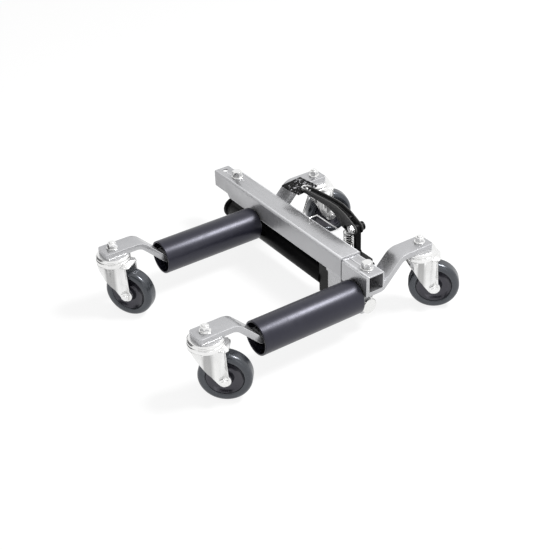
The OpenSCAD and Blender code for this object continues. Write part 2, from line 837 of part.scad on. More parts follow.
module tube_bolt() {
    color(zinc) placed() translate([arm_x + tube_bolt_x, 0, tube_top]) {
        translate([0, 0, -tube_wall - 8]) cylinder(h = tube_wall + 8, r = pin_r);
        cylinder(h = washer_t, r = washer_d / 2);
        translate([0, 0, washer_t]) hex(beam_bolt_af, beam_bolt_h);
    }
}

// Rollers

module left_roller() {
    color(black) placed() roller(-arm_x);
}

module right_roller() {
    color(black) placed() roller(arm_x);
}

module left_roller_bearings() {
    color(charcoal) placed() bearings(-arm_x);
}

module right_roller_bearings() {
    color(charcoal) placed() bearings(arm_x);
}

// Foot pedal and pump plunger

// Side outline of the pedal channel
function lever_outline() = concat(
    [
        [-lever_left, pad_z],
        [-lever_left, pad_z + lever_h],
        [crest_left, pad_z + lever_rise],
        [crest_right, pad_z + lever_rise],
        [shoulder_x, pad_z + shoulder_rise]
    ],
    arc(pivot_x, pivot_z, cheek_r, 50, -90),
    [
        [plunger_x + 10, pivot_z - cheek_r],
        [plunger_x - 10, pivot_z - cheek_r + 3],
        [crest_right - 5, pad_z - 3],
        [crest_left - 5, pad_z + 3]
    ]
);

// Side outline of the hollow inside the pedal channel, open below
function lever_hollow() = concat(
    [
        [-lever_left + lever_wall, pivot_z - 2 * cheek_r],
        [-lever_left + lever_wall, pad_z + lever_h - lever_wall],
        [crest_left, pad_z + lever_rise - lever_wall],
        [crest_right, pad_z + lever_rise - lever_wall],
        [shoulder_x, pad_z + shoulder_rise - lever_wall]
    ],
    arc(pivot_x, pivot_z, cheek_r - lever_wall, 50, 0),
    [[pivot_x + cheek_r - lever_wall, pivot_z - 2 * cheek_r]]
);

module pedal_lever() {
    side_y = pump_y + lever_w / 2;
    color(black) placed() difference() {
        union() {
            difference() {
                translate([0, side_y, 0]) rotate([90, 0, 0]) linear_extrude(lever_w)
                    polygon(lever_outline());
                translate([0, side_y - lever_wall, 0]) rotate([90, 0, 0])
                    linear_extrude(lever_w - 2 * lever_wall) polygon(lever_hollow());
            }
            translate([plunger_x, side_y, lift_pin_z]) rotate([90, 0, 0])
                cylinder(h = lever_w, r = lift_pin_r);
        }
        translate([pivot_x, pump_y + lever_w, pivot_z]) rotate([90, 0, 0])
            cylinder(h = 2 * lever_w, r = pivot_r + running_gap);
    }
}

module foot_pad() {
    color(black) placed() translate([-pad_x, pad_y, pad_z - pad_t]) rotate([0, 0, pad_turn])
        linear_extrude(pad_t) square(pad_size, center = true);
}

module pedal_stop() {
    top_x = -75;
    top_z = pad_z + lever_h - 1;
    lean = 22;
    drop = 72;
    color(zinc) placed() translate([top_x, pump_y, top_z]) rotate([0, 180 + lean, 0])
        cylinder(h = drop, r = stop_d / 2);
}

module pump_plunger() {
    low = block_top - plunger_deep;
    color(zinc) placed() translate([plunger_x, pump_y, 0]) {
        translate([0, 0, low]) cylinder(h = plunger_top - low, r = plunger_r);
        translate([0, 0, spring_top]) cylinder(h = seat_h, r = seat_d / 2);
    }
}

module plunger_spring() {
    color(zinc) placed() translate([plunger_x, pump_y, block_top + touch_gap])
        coil(spring_d / 2, wire_d / 2, spring_top - block_top - 2 * touch_gap, spring_turns);
}

// Casters

module kingpin_front_left() { color(zinc) caster_at(-arm_x, -front_pin_y, turn_front_left) kingpin(); }
module race_front_left() { color(zinc) caster_at(-arm_x, -front_pin_y, turn_front_left) top_race(); }
module fork_front_left() { color(zinc) caster_at(-arm_x, -front_pin_y, turn_front_left) fork(); }
module axle_front_left() { color(zinc) caster_at(-arm_x, -front_pin_y, turn_front_left) axle(); }
module tyre_front_left() { color(charcoal) caster_at(-arm_x, -front_pin_y, turn_front_left) tyre(); }
module core_front_left() { color(charcoal) caster_at(-arm_x, -front_pin_y, turn_front_left) core(); }

module kingpin_front_right() { color(zinc) caster_at(arm_x, -front_pin_y, turn_front_right) kingpin(); }
module race_front_right() { color(zinc) caster_at(arm_x, -front_pin_y, turn_front_right) top_race(); }
module fork_front_right() { color(zinc) caster_at(arm_x, -front_pin_y, turn_front_right) fork(); }
module axle_front_right() { color(zinc) caster_at(arm_x, -front_pin_y, turn_front_right) axle(); }
module tyre_front_right() { color(charcoal) caster_at(arm_x, -front_pin_y, turn_front_right) tyre(); }
module core_front_right() { color(charcoal) caster_at(arm_x, -front_pin_y, turn_front_right) core(); }

module kingpin_rear_right() { color(zinc) caster_at(arm_x, rear_pin_y, turn_rear_right) kingpin(); }
module race_rear_right() { color(zinc) caster_at(arm_x, rear_pin_y, turn_rear_right) top_race(); }
module fork_rear_right() { color(zinc) caster_at(arm_x, rear_pin_y, turn_rear_right) fork(); }
module axle_rear_right() { color(zinc) caster_at(arm_x, rear_pin_y, turn_rear_right) axle(); }
module tyre_rear_right() { color(charcoal) caster_at(arm_x, rear_pin_y, turn_rear_right) tyre(); }
module core_rear_right() { color(charcoal) caster_at(arm_x, rear_pin_y, turn_rear_right) core(); }

module kingpin_rear_left() { color(zinc) caster_at(-arm_x, rear_pin_y, turn_rear_left) kingpin(); }
module race_rear_left() { color(zinc) caster_at(-arm_x, rear_pin_y, turn_rear_left) top_race(); }
module fork_rear_left() { color(zinc) caster_at(-arm_x, rear_pin_y, turn_rear_left) fork(); }
module axle_rear_left() { color(zinc) caster_at(-arm_x, rear_pin_y, turn_rear_left) axle(); }
module tyre_rear_left() { color(charcoal) caster_at(-arm_x, rear_pin_y, turn_rear_left) tyre(); }
module core_rear_left() { color(charcoal) caster_at(-arm_x, rear_pin_y, turn_rear_left) core(); }

outer_sleeve();
front_gusset();
left_saddle();
left_front_arm();
left_rear_arm();
left_roller_shaft();
ram_barrel();
ram_cap();
pump_block();
pump_tower();
pedal_pivot();
sleeve_bolt();
keeper_wire();
inner_tube();
right_bracket();
right_saddle();
right_front_arm();
right_rear_arm();
right_roller_shaft();
rod_lug();
ram_rod();
rod_nut();
tube_bolt();
left_roller();
left_roller_bearings();
right_roller();
right_roller_bearings();
pedal_lever();
foot_pad();
pedal_stop();
pump_plunger();
plunger_spring();
kingpin_front_left();
race_front_left();
fork_front_left();
axle_front_left();
tyre_front_left();
core_front_left();
kingpin_front_right();
race_front_right();
fork_front_right();
axle_front_right();
tyre_front_right();
core_front_right();
kingpin_rear_right();
race_rear_right();
fork_rear_right();
axle_rear_right();
tyre_rear_right();
core_rear_right();
kingpin_rear_left();
race_rear_left();
fork_rear_left();
axle_rear_left();
tyre_rear_left();
core_rear_left();
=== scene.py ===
"""Rolling wheel jack: finishes and fine shapes laid over its fixed solid frame."""

import json
import math

import bmesh
import bpy
from mathutils import Matrix, Vector


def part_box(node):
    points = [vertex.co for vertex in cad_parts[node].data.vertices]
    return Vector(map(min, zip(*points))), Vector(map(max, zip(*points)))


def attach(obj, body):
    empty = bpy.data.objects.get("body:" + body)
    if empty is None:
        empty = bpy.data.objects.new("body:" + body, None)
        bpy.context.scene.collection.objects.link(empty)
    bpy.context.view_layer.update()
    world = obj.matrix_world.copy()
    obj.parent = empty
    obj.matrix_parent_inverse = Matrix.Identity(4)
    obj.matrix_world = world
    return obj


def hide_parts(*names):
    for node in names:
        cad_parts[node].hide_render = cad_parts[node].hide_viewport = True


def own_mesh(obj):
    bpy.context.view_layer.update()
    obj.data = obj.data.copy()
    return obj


bl_info = {
    "name": "Vehicle positioning jack",
    "version": (1, 0, 0),
    "blender": (4, 5, 0),
    "location": "3D View > Sidebar > Jack",
    "description": "Finishes and fine shapes of a rolling wheel jack",
    "category": "Object",
}

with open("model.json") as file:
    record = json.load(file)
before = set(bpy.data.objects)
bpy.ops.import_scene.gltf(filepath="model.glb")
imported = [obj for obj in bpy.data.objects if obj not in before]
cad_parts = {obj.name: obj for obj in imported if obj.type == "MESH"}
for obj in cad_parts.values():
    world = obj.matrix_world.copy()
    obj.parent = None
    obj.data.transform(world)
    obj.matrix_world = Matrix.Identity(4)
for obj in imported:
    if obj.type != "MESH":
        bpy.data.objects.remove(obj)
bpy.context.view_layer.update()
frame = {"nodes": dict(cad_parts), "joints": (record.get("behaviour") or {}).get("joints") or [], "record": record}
MM = 0.001
RECORD = frame["record"]
BODY_OF = {n: body for body, nodes in RECORD["behaviour"]["bodies"].items() for n in nodes}
SLOT_OF = {row["node"]: row["material_slot"] for row in RECORD["subparts"]}
JOINTS = {joint["name"]: joint for joint in frame["joints"]}
CORNERS = ("front_left", "front_right", "rear_right", "rear_left")
SIDE_BODY = {"left": "fixed_side", "right": "sliding_side"}


# Settings


def length(name, words, value, low, high):
    """A length setting in metres, with its default and its limits."""
    return bpy.props.FloatProperty(
        name=name, description=words, default=value, min=low, max=high, unit="LENGTH")


def colour(name, words, value):
    """A colour setting with its default."""
    return bpy.props.FloatVectorProperty(
        name=name, description=words, default=value, min=0.0, max=1.0, size=3, subtype="COLOR")


class JackSizes(bpy.types.PropertyGroup):
    """Sizes that the finished shapes add to the solids"""

    soft_edge: length("Soft edge", "Rounding of painted plate edges", 0.0006, 0.0003, 0.002)
    tube_edge: length("Tube edge", "Rounding of cut tube ends", 0.0006, 0.0002, 0.001)
    bead: length("Weld bead", "Radius of a weld bead", 0.0021, 0.001, 0.003)
    ripple: length("Weld ripple", "Distance from one weld ripple to the next", 0.0022, 0.001, 0.005)
    sheet: length("Fork sheet", "Thickness of the pressed forks", 0.003, 0.002, 0.004)
    pin_nut: length("Swivel pin nut", "Nut of a swivel pin, across its flats", 0.016, 0.015, 0.019)
    spring_wire: length("Spring wire", "Thickness of the spring wire", 0.002, 0.0014, 0.0022)
    spring_turns: bpy.props.FloatProperty(
        name="Spring curls", description="Number of curls of the return spring",
        default=5.5, min=4.0, max=6.5)
    grain: length("Grain size", "Radius of the largest grit grains", 0.0011, 0.0004, 0.002)
    grains: bpy.props.IntProperty(
        name="Grit grains", description="Number of coarse grains on the foot pad",
        default=260, min=0, max=800)


class JackColours(bpy.types.PropertyGroup):
    """Colours of the finishes"""

    paint: colour("Paint", "Grey paint of the beam and arms", (0.49, 0.492, 0.505))
    paint_dark: colour("Paint shade", "Darker patches in the grey paint", (0.40, 0.402, 0.415))
    black: colour("Black paint", "Paint of the ram, pump and pedal", (0.003, 0.003, 0.0033))
    roller: colour("Roller", "Coating of the rollers", (0.007, 0.007, 0.013))
    zinc: colour("Zinc", "Bright plate of forks and fasteners", (0.87, 0.87, 0.865))
    steel: colour("Steel", "Ground steel of shafts and rod", (0.82, 0.82, 0.81))
    rubber: colour("Tyre", "Rubber of the wheels", (0.016, 0.018, 0.021))
    core: colour("Core", "Moulded wheel cores", (0.012, 0.012, 0.016))


def sizes():
    return bpy.context.scene.jack_sizes


def colours():
    return bpy.context.scene.jack_colours


# Shader expressions


class Value:
    """A shader socket that Python's operators extend with Math nodes."""

    def __init__(self, shader, socket):
        self.shader = shader
        self.socket = socket

    def __add__(self, other):
        return self.shader.math("ADD", self, other)

    def __radd__(self, other):
        return self.shader.math("ADD", other, self)

    def __sub__(self, other):
        return self.shader.math("SUBTRACT", self, other)

    def __rsub__(self, other):
        return self.shader.math("SUBTRACT", other, self)

    def __mul__(self, other):
        return self.shader.math("MULTIPLY", self, other)

    def __rmul__(self, other):
        return self.shader.math("MULTIPLY", other, self)

    def __pow__(self, other):
        return self.shader.math("POWER", self, other)

    def __rpow__(self, other):
        return self.shader.math("POWER", other, self)

    def ramp(self, low, high, start=0.0, end=1.0):
        """A smooth step from start to end as the value goes from low to high."""
        return self.shader.node(
            "ShaderNodeMapRange", {"interpolation_type": "SMOOTHSTEP"},
            {"Value": self, "From Min": low, "From Max": high, "To Min": start, "To Max": end})


class ShaderTree:
    """A tree of shader nodes that all come from one method."""

    def __init__(self, tree):
        self.tree = tree

    def node(self, kind, settings, sockets, output=0):
        """Any node: its type, its settings, then the values or links of its sockets."""
        made = self.tree.nodes.new(kind)
        for key, value in settings.items():
            setattr(made, key, value)
        for key, value in sockets.items():
            if isinstance(value, Value):
                self.tree.links.new(value.socket, made.inputs[key])
            else:
                made.inputs[key].default_value = value
        return Value(self, made.outputs[output]) if made.outputs else None

    def math(self, operation, first, second):
        return self.node("ShaderNodeMath", {"operation": operation}, {0: first, 1: second})


class Shader(ShaderTree):
    """One material, built from expressions on its sockets."""

    def __init__(self, name, **fixed):
        self.material = bpy.data.materials.new(name)
        self.material.use_nodes = True
        super().__init__(self.material.node_tree)
        self.surface = self.tree.nodes["Principled BSDF"]
        for socket, value in fixed.items():
            self.surface.inputs[socket.replace("_", " ")].default_value = value
        self.place = self.node("ShaderNodeTexCoord", {}, {}, "Object")

    def feed(self, **inputs):
        for socket, value in inputs.items():
            self.tree.links.new(value.socket, self.surface.inputs[socket.replace("_", " ")])
        return self

    def noise(self, scale, detail=3.0, rough=0.5, stretch=None):
        where = self.place
        if stretch:
            where = self.node("ShaderNodeMapping", {}, {"Vector": self.place, "Scale": stretch})
        return self.node(
            "ShaderNodeTexNoise", {},
            {"Vector": where, "Scale": scale, "Detail": detail, "Roughness": rough})

    def specks(self, scale, size):
        """Small round marks, 1 inside a mark."""
        cells = self.node(
            "ShaderNodeTexVoronoi", {"feature": "F1"}, {"Vector": self.place, "Scale": scale}, "Distance")
        return cells.ramp(size, size * 0.4)

    def marked(self, name):
        """The value of a piece's own attribute."""
        return self.node("ShaderNodeAttribute", {"attribute_name": name}, {}, "Fac")

    def mix(self, factor, first, second):
        def four(value):
            return value if isinstance(value, Value) else (*value, 1.0)

        return self.node(
            "ShaderNodeMix", {"data_type": "RGBA"}, {0: factor, 6: four(first), 7: four(second)}, 2)

    def bump(self, height, strength, distance):
        return self.node(
            "ShaderNodeBump", {}, {"Height": height, "Strength": strength, "Distance": distance}, "Normal")


def scaled(rgb, factor):
    return tuple(min(1.0, channel * factor) for channel in rgb)


def grey_paint():
    """Silver grey satin paint with soft shade patches, and lighter, less metallic faces where the attribute named
    edge says so: rubbed edges with a painted highlight, and painted light on front faces.
    """
    c = colours()
    s = Shader("grey_paint")
    edge = s.marked("edge")
    cloud = s.noise(9.0, 2.0, 0.45).ramp(0.42, 0.68)
    fine = s.noise(160.0, 4.0, 0.6)
    peel = s.noise(620.0, 2.0, 0.5)
    base = s.mix(cloud * 0.5, c.paint, c.paint_dark)
    base = s.mix(fine.ramp(0.35, 0.75) * 0.1, base, scaled(c.paint, 1.2))
    # Painted highlight and painted light: lighter grey, with less metal, on edge faces (partly rubbed edges) and
    # on the front faces marked in the same attribute.
    base = s.mix(edge ** 3.0, base, scaled(c.paint, 1.35))
    base = s.mix(s.specks(95.0, 0.11) * 0.12, base, scaled(c.paint_dark, 0.6))
    rough = fine.ramp(0.3, 0.7, 0.26, 0.34) + edge ** 3.0 * 0.3
    return s.feed(Base_Color=base, Metallic=0.82 - edge * 0.6, Roughness=rough,
                  Normal=s.bump(peel, 0.035, 0.0003)).material


def black_paint():
    """Satin black paint, turned to zinc-coloured metal in patches where the piece's own attribute says so."""
    c = colours()
    s = Shader("black_paint", Specular_IOR_Level=0.1)
    fine = s.noise(210.0, 4.0, 0.6)
    metal_patches = s.marked("metal_patch") * s.noise(190.0, 3.0).ramp(0.15, 0.4)
    dust = s.noise(34.0, 5.0, 0.7).ramp(0.55, 0.8)
    base = s.mix(fine.ramp(0.3, 0.8) * 0.4, c.black, scaled(c.black, 2.2))
    base = s.mix(dust * 0.12, base, (0.03, 0.03, 0.032))
    base = s.mix(metal_patches, base, c.zinc)
    return s.feed(Base_Color=base, Metallic=metal_patches * 0.9, Roughness=fine.ramp(0.3, 0.7, 0.3, 0.44),
                  Normal=s.bump(s.noise(700.0, 2.0), 0.1, 0.0003)).material


def roller_black():
    """Glossy blue-black roller coating with turning marks and fine scuffs."""
    c = colours()
    s = Shader("roller_black", Specular_IOR_Level=0.62, Specular_Tint=(0.86, 0.86, 1.0, 1.0))
    rings = s.noise(120.0, 3.0, 0.6, stretch=(0.12, 1.0, 0.12))
    scuffs = s.noise(30.0, 5.0, 0.7).ramp(0.5, 0.72)
    dust = s.specks(150.0, 0.09)
    base = s.mix(rings.ramp(0.3, 0.8) * 0.3, c.roller, scaled(c.roller, 1.6))
    base = s.mix(scuffs * 0.2, base, (0.022, 0.021, 0.026))
    base = s.mix(dust * 0.2, base, (0.08, 0.08, 0.10))
    return s.feed(Base_Color=base, Roughness=rings.ramp(0.3, 0.75, 0.33, 0.36) + scuffs * 0.06,
                  Normal=s.bump(scuffs, 0.02, 0.0002)).material


def zinc_plate():
    """Bright zinc plate, clouded, with a painted shade and more roughness where the attribute named bend says so.
    """
    c = colours()
    s = Shader("zinc_plate", Metallic=0.9)
    cloud = s.noise(38.0, 3.0, 0.5)
    grain = s.noise(420.0, 3.0, 0.6)
    base = s.mix(cloud.ramp(0.4, 0.7) * 0.35, c.zinc, scaled(c.zinc, 0.82))
    base = s.mix(s.specks(230.0, 0.10) * 0.35, base, scaled(c.zinc, 0.5))
    bend = s.marked("bend")
    # Painted shade: the fold between the round front and the leg is darkened as if it reflected something dark.
    base = s.mix(bend * 0.85, base, scaled(c.zinc, 0.42))
    return s.feed(Base_Color=base, Roughness=cloud.ramp(0.3, 0.7, 0.13, 0.24) + bend * 0.1,
                  Normal=s.bump(grain, 0.05, 0.0002)).material


def bright_steel():
    """Ground steel with fine round tool marks."""
    c = colours()
    s = Shader("bright_steel", Metallic=1.0)
    marks = s.noise(900.0, 3.0, 0.6, stretch=(0.15, 0.15, 1.0))
    base = s.mix(marks.ramp(0.3, 0.75) * 0.3, c.steel, scaled(c.steel, 0.75))
    return s.feed(Base_Color=base, Roughness=marks.ramp(0.3, 0.7, 0.16, 0.3),
                  Normal=s.bump(marks, 0.05, 0.0002)).material


def tyre_rubber():
    """Charcoal rubber with a blue cast and faint floor dust."""
    c = colours()
    s = Shader("tyre_rubber", Specular_IOR_Level=0.95, Specular_Tint=(0.88, 0.92, 1.0, 1.0))
    mottle = s.noise(85.0, 4.0, 0.6)
    dust = s.noise(30.0, 5.0, 0.7).ramp(0.45, 0.75)
    base = s.mix(mottle.ramp(0.3, 0.75), c.rubber, scaled(c.rubber, 1.7))
    base = s.mix(dust * 0.25, base, (0.07, 0.071, 0.073))
    return s.feed(Base_Color=base, Roughness=mottle.ramp(0.3, 0.7, 0.2, 0.29),
                  Normal=s.bump(s.noise(850.0, 3.0), 0.08, 0.0003)).material


def moulded_core():
    """Moulded dark wheel core, as glossy as its tyre."""
    c = colours()
    s = Shader("moulded_core", Specular_IOR_Level=0.75, Specular_Tint=(0.92, 0.90, 1.0, 1.0))
    mottle = s.noise(140.0, 4.0, 0.6)
    base = s.mix(mottle.ramp(0.3, 0.75), c.core, scaled(c.core, 1.6))
    return s.feed(Base_Color=base, Roughness=mottle.ramp(0.3, 0.7, 0.18, 0.27),
                  Normal=s.bump(s.noise(600.0, 2.0), 0.06, 0.0003)).material


def pad_grit():
    """Black anti-slip grit with light worn grains."""
    c = colours()
    s = Shader("pad_grit", Specular_IOR_Level=0.2)
    cells = s.node("ShaderNodeTexVoronoi", {}, {"Vector": s.place, "Scale": 330.0}, "Distance")
    worn = s.noise(200.0, 2.0, 0.6).ramp(0.60, 0.63)
    base = s.mix(worn * 0.9, c.black, (0.50, 0.50, 0.52))
    return s.feed(Base_Color=base, Roughness=cells.ramp(0.1, 0.6, 0.4, 0.75),
                  Normal=s.bump(cells, 0.8, 0.001)).material


def nylon():
    """Dull moulded bush material."""
    s = Shader("bush_nylon")
    mottle = s.noise(200.0, 3.0)
    base = s.mix(mottle, (0.05, 0.05, 0.05), (0.10, 0.10, 0.10))
    return s.feed(Base_Color=base, Roughness=mottle.ramp(0.3, 0.7, 0.5, 0.65)).material


MAKERS = {
    "grey_paint": grey_paint, "black_paint": black_paint, "grit_black": pad_grit,
    "roller_black": roller_black, "zinc": zinc_plate, "bright_steel": bright_steel,
    "bush_nylon": nylon, "tyre_rubber": tyre_rubber, "core_black": moulded_core,
}
MATERIALS = {}


def material(slot):
    """The finish of one material slot, made once."""
    if slot not in MATERIALS:
        MATERIALS[slot] = MAKERS[slot]()
    return MATERIALS[slot]


# Shape helpers, in millimetres unless a comment says metres


FORWARD = Matrix.Rotation(math.radians(90), 4, "X")  # turns a shape's Z to the machine's front


def arc(cx, cy, r, start, end, steps):
    """Points on an arc, angles in degrees."""
    turns = [math.radians(start + (end - start) * i / steps) for i in range(steps + 1)]
    return [(cx + r * math.cos(t), cy + r * math.sin(t)) for t in turns]


def filleted(corners, steps=4):
    """An outline with its corners rounded. Each corner is (a, b, radius)."""
    points = []
    for i, (a, b, r) in enumerate(corners):
        here = Vector((a, b))
        if r <= 0:
            points.append((a, b))
            continue
        back = (Vector(corners[i - 1][:2]) - here).normalized()
        on = (Vector(corners[(i + 1) % len(corners)][:2]) - here).normalized()
        half = back.angle(on) / 2
        reach = r / math.tan(half)
        centre = here + (back + on).normalized() * (r / math.sin(half))
        first = here + back * reach - centre
        last = here + on * reach - centre
        turn = first.angle_signed(last)
        for k in range(steps + 1):
            spoke = first.copy()
            spoke.rotate(Matrix.Rotation(-turn * k / steps, 2))
            points.append(tuple(centre + spoke))
    return points


def peg(radius, low, high, low_round=0, high_round=0):
    """Outline of a round peg on Z, as corners for filleted."""
    return [(0, low, 0), (radius, low, low_round), (radius, high, high_round), (0, high, 0)]


def lathe(outline, steps):
    """Turns a closed outline of (radius, height) points about Z."""
    shape = bmesh.new()
    rings = []
    for k in range(steps):
        angle = 2 * math.pi * k / steps
        rings.append([shape.verts.new((r * math.cos(angle), r * math.sin(angle), z)) for r, z in outline])
    for k in range(steps):
        here, there = rings[k], rings[(k + 1) % steps]
        for i in range(len(outline)):
            j = (i + 1) % len(outline)
            if outline[i][0] > 0 or outline[j][0] > 0:
                shape.faces.new((here[i], there[i], there[j], here[j]))
    bmesh.ops.remove_doubles(shape, verts=shape.verts, dist=0.001)
    bmesh.ops.recalc_face_normals(shape, faces=shape.faces)
    return shape


def join_rings(shape, rings, flip=False):
    """Joins rings of as many points each with four-sided faces. Flip winds them the other way."""
    for here, there in zip(rings, rings[1:]):
        for i in range(len(here)):
            j = (i + 1) % len(here)
            if flip:
                shape.faces.new((here[i], there[i], there[j], here[j]))
            else:
                shape.faces.new((here[i], here[j], there[j], there[i]))


def to_mesh(name, shape, matrix=None, unit=MM):
    """A mesh in metres from a shape in the given unit, moved by a matrix in metres."""
    mesh = bpy.data.meshes.new(name)
    shape.transform((matrix or Matrix.Identity(4)) @ Matrix.Scale(unit, 4))
    shape.to_mesh(mesh)
    shape.free()
    return mesh


def link(name, data):
    made = bpy.data.objects.new(name, data)
    bpy.context.scene.collection.objects.link(made)
    return made


def piece_from(name, shape, matrix=None, unit=MM):
    return link(name, to_mesh(name, shape, matrix, unit))


def baked(piece):
    """Applies a piece's modifiers and leaves a plain mesh."""
    bpy.context.view_layer.update()
    depsgraph = bpy.context.evaluated_depsgraph_get()
    mesh = bpy.data.meshes.new_from_object(piece.evaluated_get(depsgraph))
    piece.modifiers.clear()
    piece.data = mesh
    return piece


EDGE_WIDTH = 0.0022  # widest face that counts as part of an edge, in metres


def mark_rubbed_edges_and_highlight(mesh):
    """Writes the attribute named edge: 1 on the narrow faces that run along an edge, which the grey paint makes
    lighter and less metallic: rubbed edges with a painted highlight.
    """
    values = []
    for face in mesh.polygons:
        points = [mesh.vertices[v].co for v in face.vertices]
        longest = max((points[i] - points[i - 1]).length for i in range(len(points)))
        narrow = face.area < longest * EDGE_WIDTH and face.area < longest * longest * 0.5
        values.append(1.0 if narrow else 0.0)
    mesh.attributes.new("edge", "FLOAT", "FACE").data.foreach_set("value", values)


def paint_front_light(mesh, share):
    """Paints the faces toward the front lighter and less metallic, with a share of the edge finish: painted light
    on the front side.
    """
    for item, face in zip(mesh.attributes["edge"].data, mesh.polygons):
        if face.normal.y < -0.9:
            item.value = max(item.value, share)


def settle(piece, body, slot, stands_for=(), crease=38.0):
    """Smooths a finished piece, gives it its finish and joins it to its body."""
    mesh = piece.data
    mesh.shade_smooth()
    mesh.set_sharp_from_angle(angle=math.radians(crease))
    mesh.materials.clear()
    mesh.materials.append(material(slot))
    # Grey paint gets the attribute named edge: rubbed edges with a painted highlight.
    if slot == "grey_paint":
        mark_rubbed_edges_and_highlight(mesh)
    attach(piece, body)
    if stands_for:
        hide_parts(*stands_for)
    return piece


def mark_cross_edges(mesh, crisp, angle):
    """Marks the edges sharper than an angle for rounding, apart from those along the crisp direction."""
    shape = bmesh.new()
    shape.from_mesh(mesh)
    chosen = []
    for line in shape.edges:
        along = (line.verts[1].co - line.verts[0].co).normalized()
        turned = len(line.link_faces) == 2 and line.calc_face_angle() > angle
        chosen.append(1.0 if turned and abs(along.dot(crisp)) < 0.9 else 0.0)
    shape.free()
    mesh.attributes.new("bevel_weight_edge", "FLOAT", "EDGE").data.foreach_set("value", chosen)


def soften(piece, width, segments=2, angle=32.0, crisp=None):
    """Rounds the sharp edges of a piece by a width in metres."""
    edge = piece.modifiers.new("Soft edge", "BEVEL")
    edge.width = width
    edge.segments = segments
    edge.limit_method = "ANGLE"
    edge.angle_limit = math.radians(angle)
    if crisp:
        mark_cross_edges(piece.data, crisp, math.radians(angle))
        edge.limit_method = "WEIGHT"
    edge.use_clamp_overlap = False
    edge.harden_normals = True
    return baked(piece)


def solid_copy(node):
    """A joined copy of a node's solid, as a shape in metres."""
    shape = bmesh.new()
    shape.from_mesh(frame["nodes"][node].data)
    bmesh.ops.remove_doubles(shape, verts=shape.verts, dist=0.00001)
    bmesh.ops.dissolve_limit(
        shape, angle_limit=math.radians(0.3), verts=shape.verts, edges=shape.edges)
    return shape


def dress(node, width, crisp=None):
    """A node with its sharp edges rounded by a width in metres and its finish on."""
    piece = piece_from(node + "_dressed", solid_copy(node), unit=1.0)
    piece.data.shade_smooth()
    if width:
        soften(piece, width, crisp=crisp)
    return settle(piece, BODY_OF[node], SLOT_OF[node], [node])


def middle(node):
    low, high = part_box(node)
    return (low + high) / 2


# Geometry node trees


def socket_id(tree, name):
    for item in tree.interface.items_tree:
        if item.item_type == "SOCKET" and item.in_out == "INPUT" and item.name == name:
            return item.identifier
    raise RuntimeError(f"the tree {tree.name} has no input {name}")


class Tree:
    """A geometry node tree with named inputs."""

    def __init__(self, name, **inputs):
        self.tree = bpy.data.node_groups.new(name, "GeometryNodeTree")
        face = self.tree.interface
        face.new_socket("Geometry", in_out="INPUT", socket_type="NodeSocketGeometry")
        for title, kind in inputs.items():
            face.new_socket(title.replace("_", " "), in_out="INPUT", socket_type="NodeSocket" + kind)
        face.new_socket("Geometry", in_out="OUTPUT", socket_type="NodeSocketGeometry")
        self.start = self.tree.nodes.new("NodeGroupInput")
        self.end = self.tree.nodes.new("NodeGroupOutput")

    def add(self, kind, settings=None, **sockets):
        made = self.tree.nodes.new(kind)
        for key, value in (settings or {}).items():
            setattr(made, key, value)
        for key, value in sockets.items():
            self.join(value, made.inputs[key.replace("_", " ")])
        return made

    def join(self, value, target):
        if isinstance(value, bpy.types.NodeSocket):
            self.tree.links.new(value, target)
        else:
            target.default_value = value

    def maths(self, operation, first, second):
        made = self.tree.nodes.new("ShaderNodeMath")
        made.operation = operation
        self.join(first, made.inputs[0])
        self.join(second, made.inputs[1])
        return made.outputs[0]

    def given(self, name):
        return self.start.outputs[name]

    def finish(self, geometry):
        """Ends the tree in real geometry with its material."""
        real = self.add("GeometryNodeRealizeInstances", Geometry=geometry)
        coated = self.add(
            "GeometryNodeSetMaterial", Geometry=real.outputs[0], Material=self.given("Material"))
        self.tree.links.new(coated.outputs[0], self.end.inputs[0])
        return self.tree


def run_tree(piece, tree, **values):
    """Puts a tree on a piece, sets its inputs and keeps the result as a mesh."""
    modifier = piece.modifiers.new(tree.name, "NODES")
    modifier.node_group = tree
    for name, value in values.items():
        modifier[socket_id(tree, name.replace("_", " "))] = value
    return baked(piece)


def copies_tree():
    """Sets a copy of an object on each point, turned as the point says."""
    t = Tree("Copies on points", Source="Object", Material="Material")
    source = t.add("GeometryNodeObjectInfo", {"transform_space": "ORIGINAL"}, Object=t.given("Source"))
    turn = t.add("GeometryNodeInputNamedAttribute", {"data_type": "FLOAT_VECTOR"}, Name="turn")
    spin = t.add("FunctionNodeEulerToRotation", Euler=turn.outputs[0])
    spread = t.add(
        "GeometryNodeInstanceOnPoints", Points=t.given("Geometry"),
        Instance=source.outputs["Geometry"], Rotation=spin.outputs[0])
    return t.finish(spread.outputs[0])


def bead_tree():
    """A round bead along edges. Swell gives it the ripples of a weld."""
    t = Tree("Bead along edges", Radius="Float", Ripple="Float", Swell="Float", Material="Material")
    path = t.add("GeometryNodeMeshToCurve", Mesh=t.given("Geometry"))
    step = t.maths("DIVIDE", t.given("Ripple"), 4.0)
    even = t.add("GeometryNodeResampleCurve", {"mode": "LENGTH"}, Curve=path.outputs[0], Length=step)
    turn = t.maths("MULTIPLY", t.add("GeometryNodeInputIndex").outputs[0], math.pi / 2)
    wave = t.maths("MULTIPLY", t.maths("SINE", turn, 0.0), t.given("Swell"))
    size = t.maths("ADD", wave, 1.0)
    circle = t.add("GeometryNodeCurvePrimitiveCircle", Resolution=10, Radius=t.given("Radius"))
    bead = t.add(
        "GeometryNodeCurveToMesh", Curve=even.outputs[0], Profile_Curve=circle.outputs[0],
        Scale=size, Fill_Caps=True)
    return t.finish(bead.outputs[0])


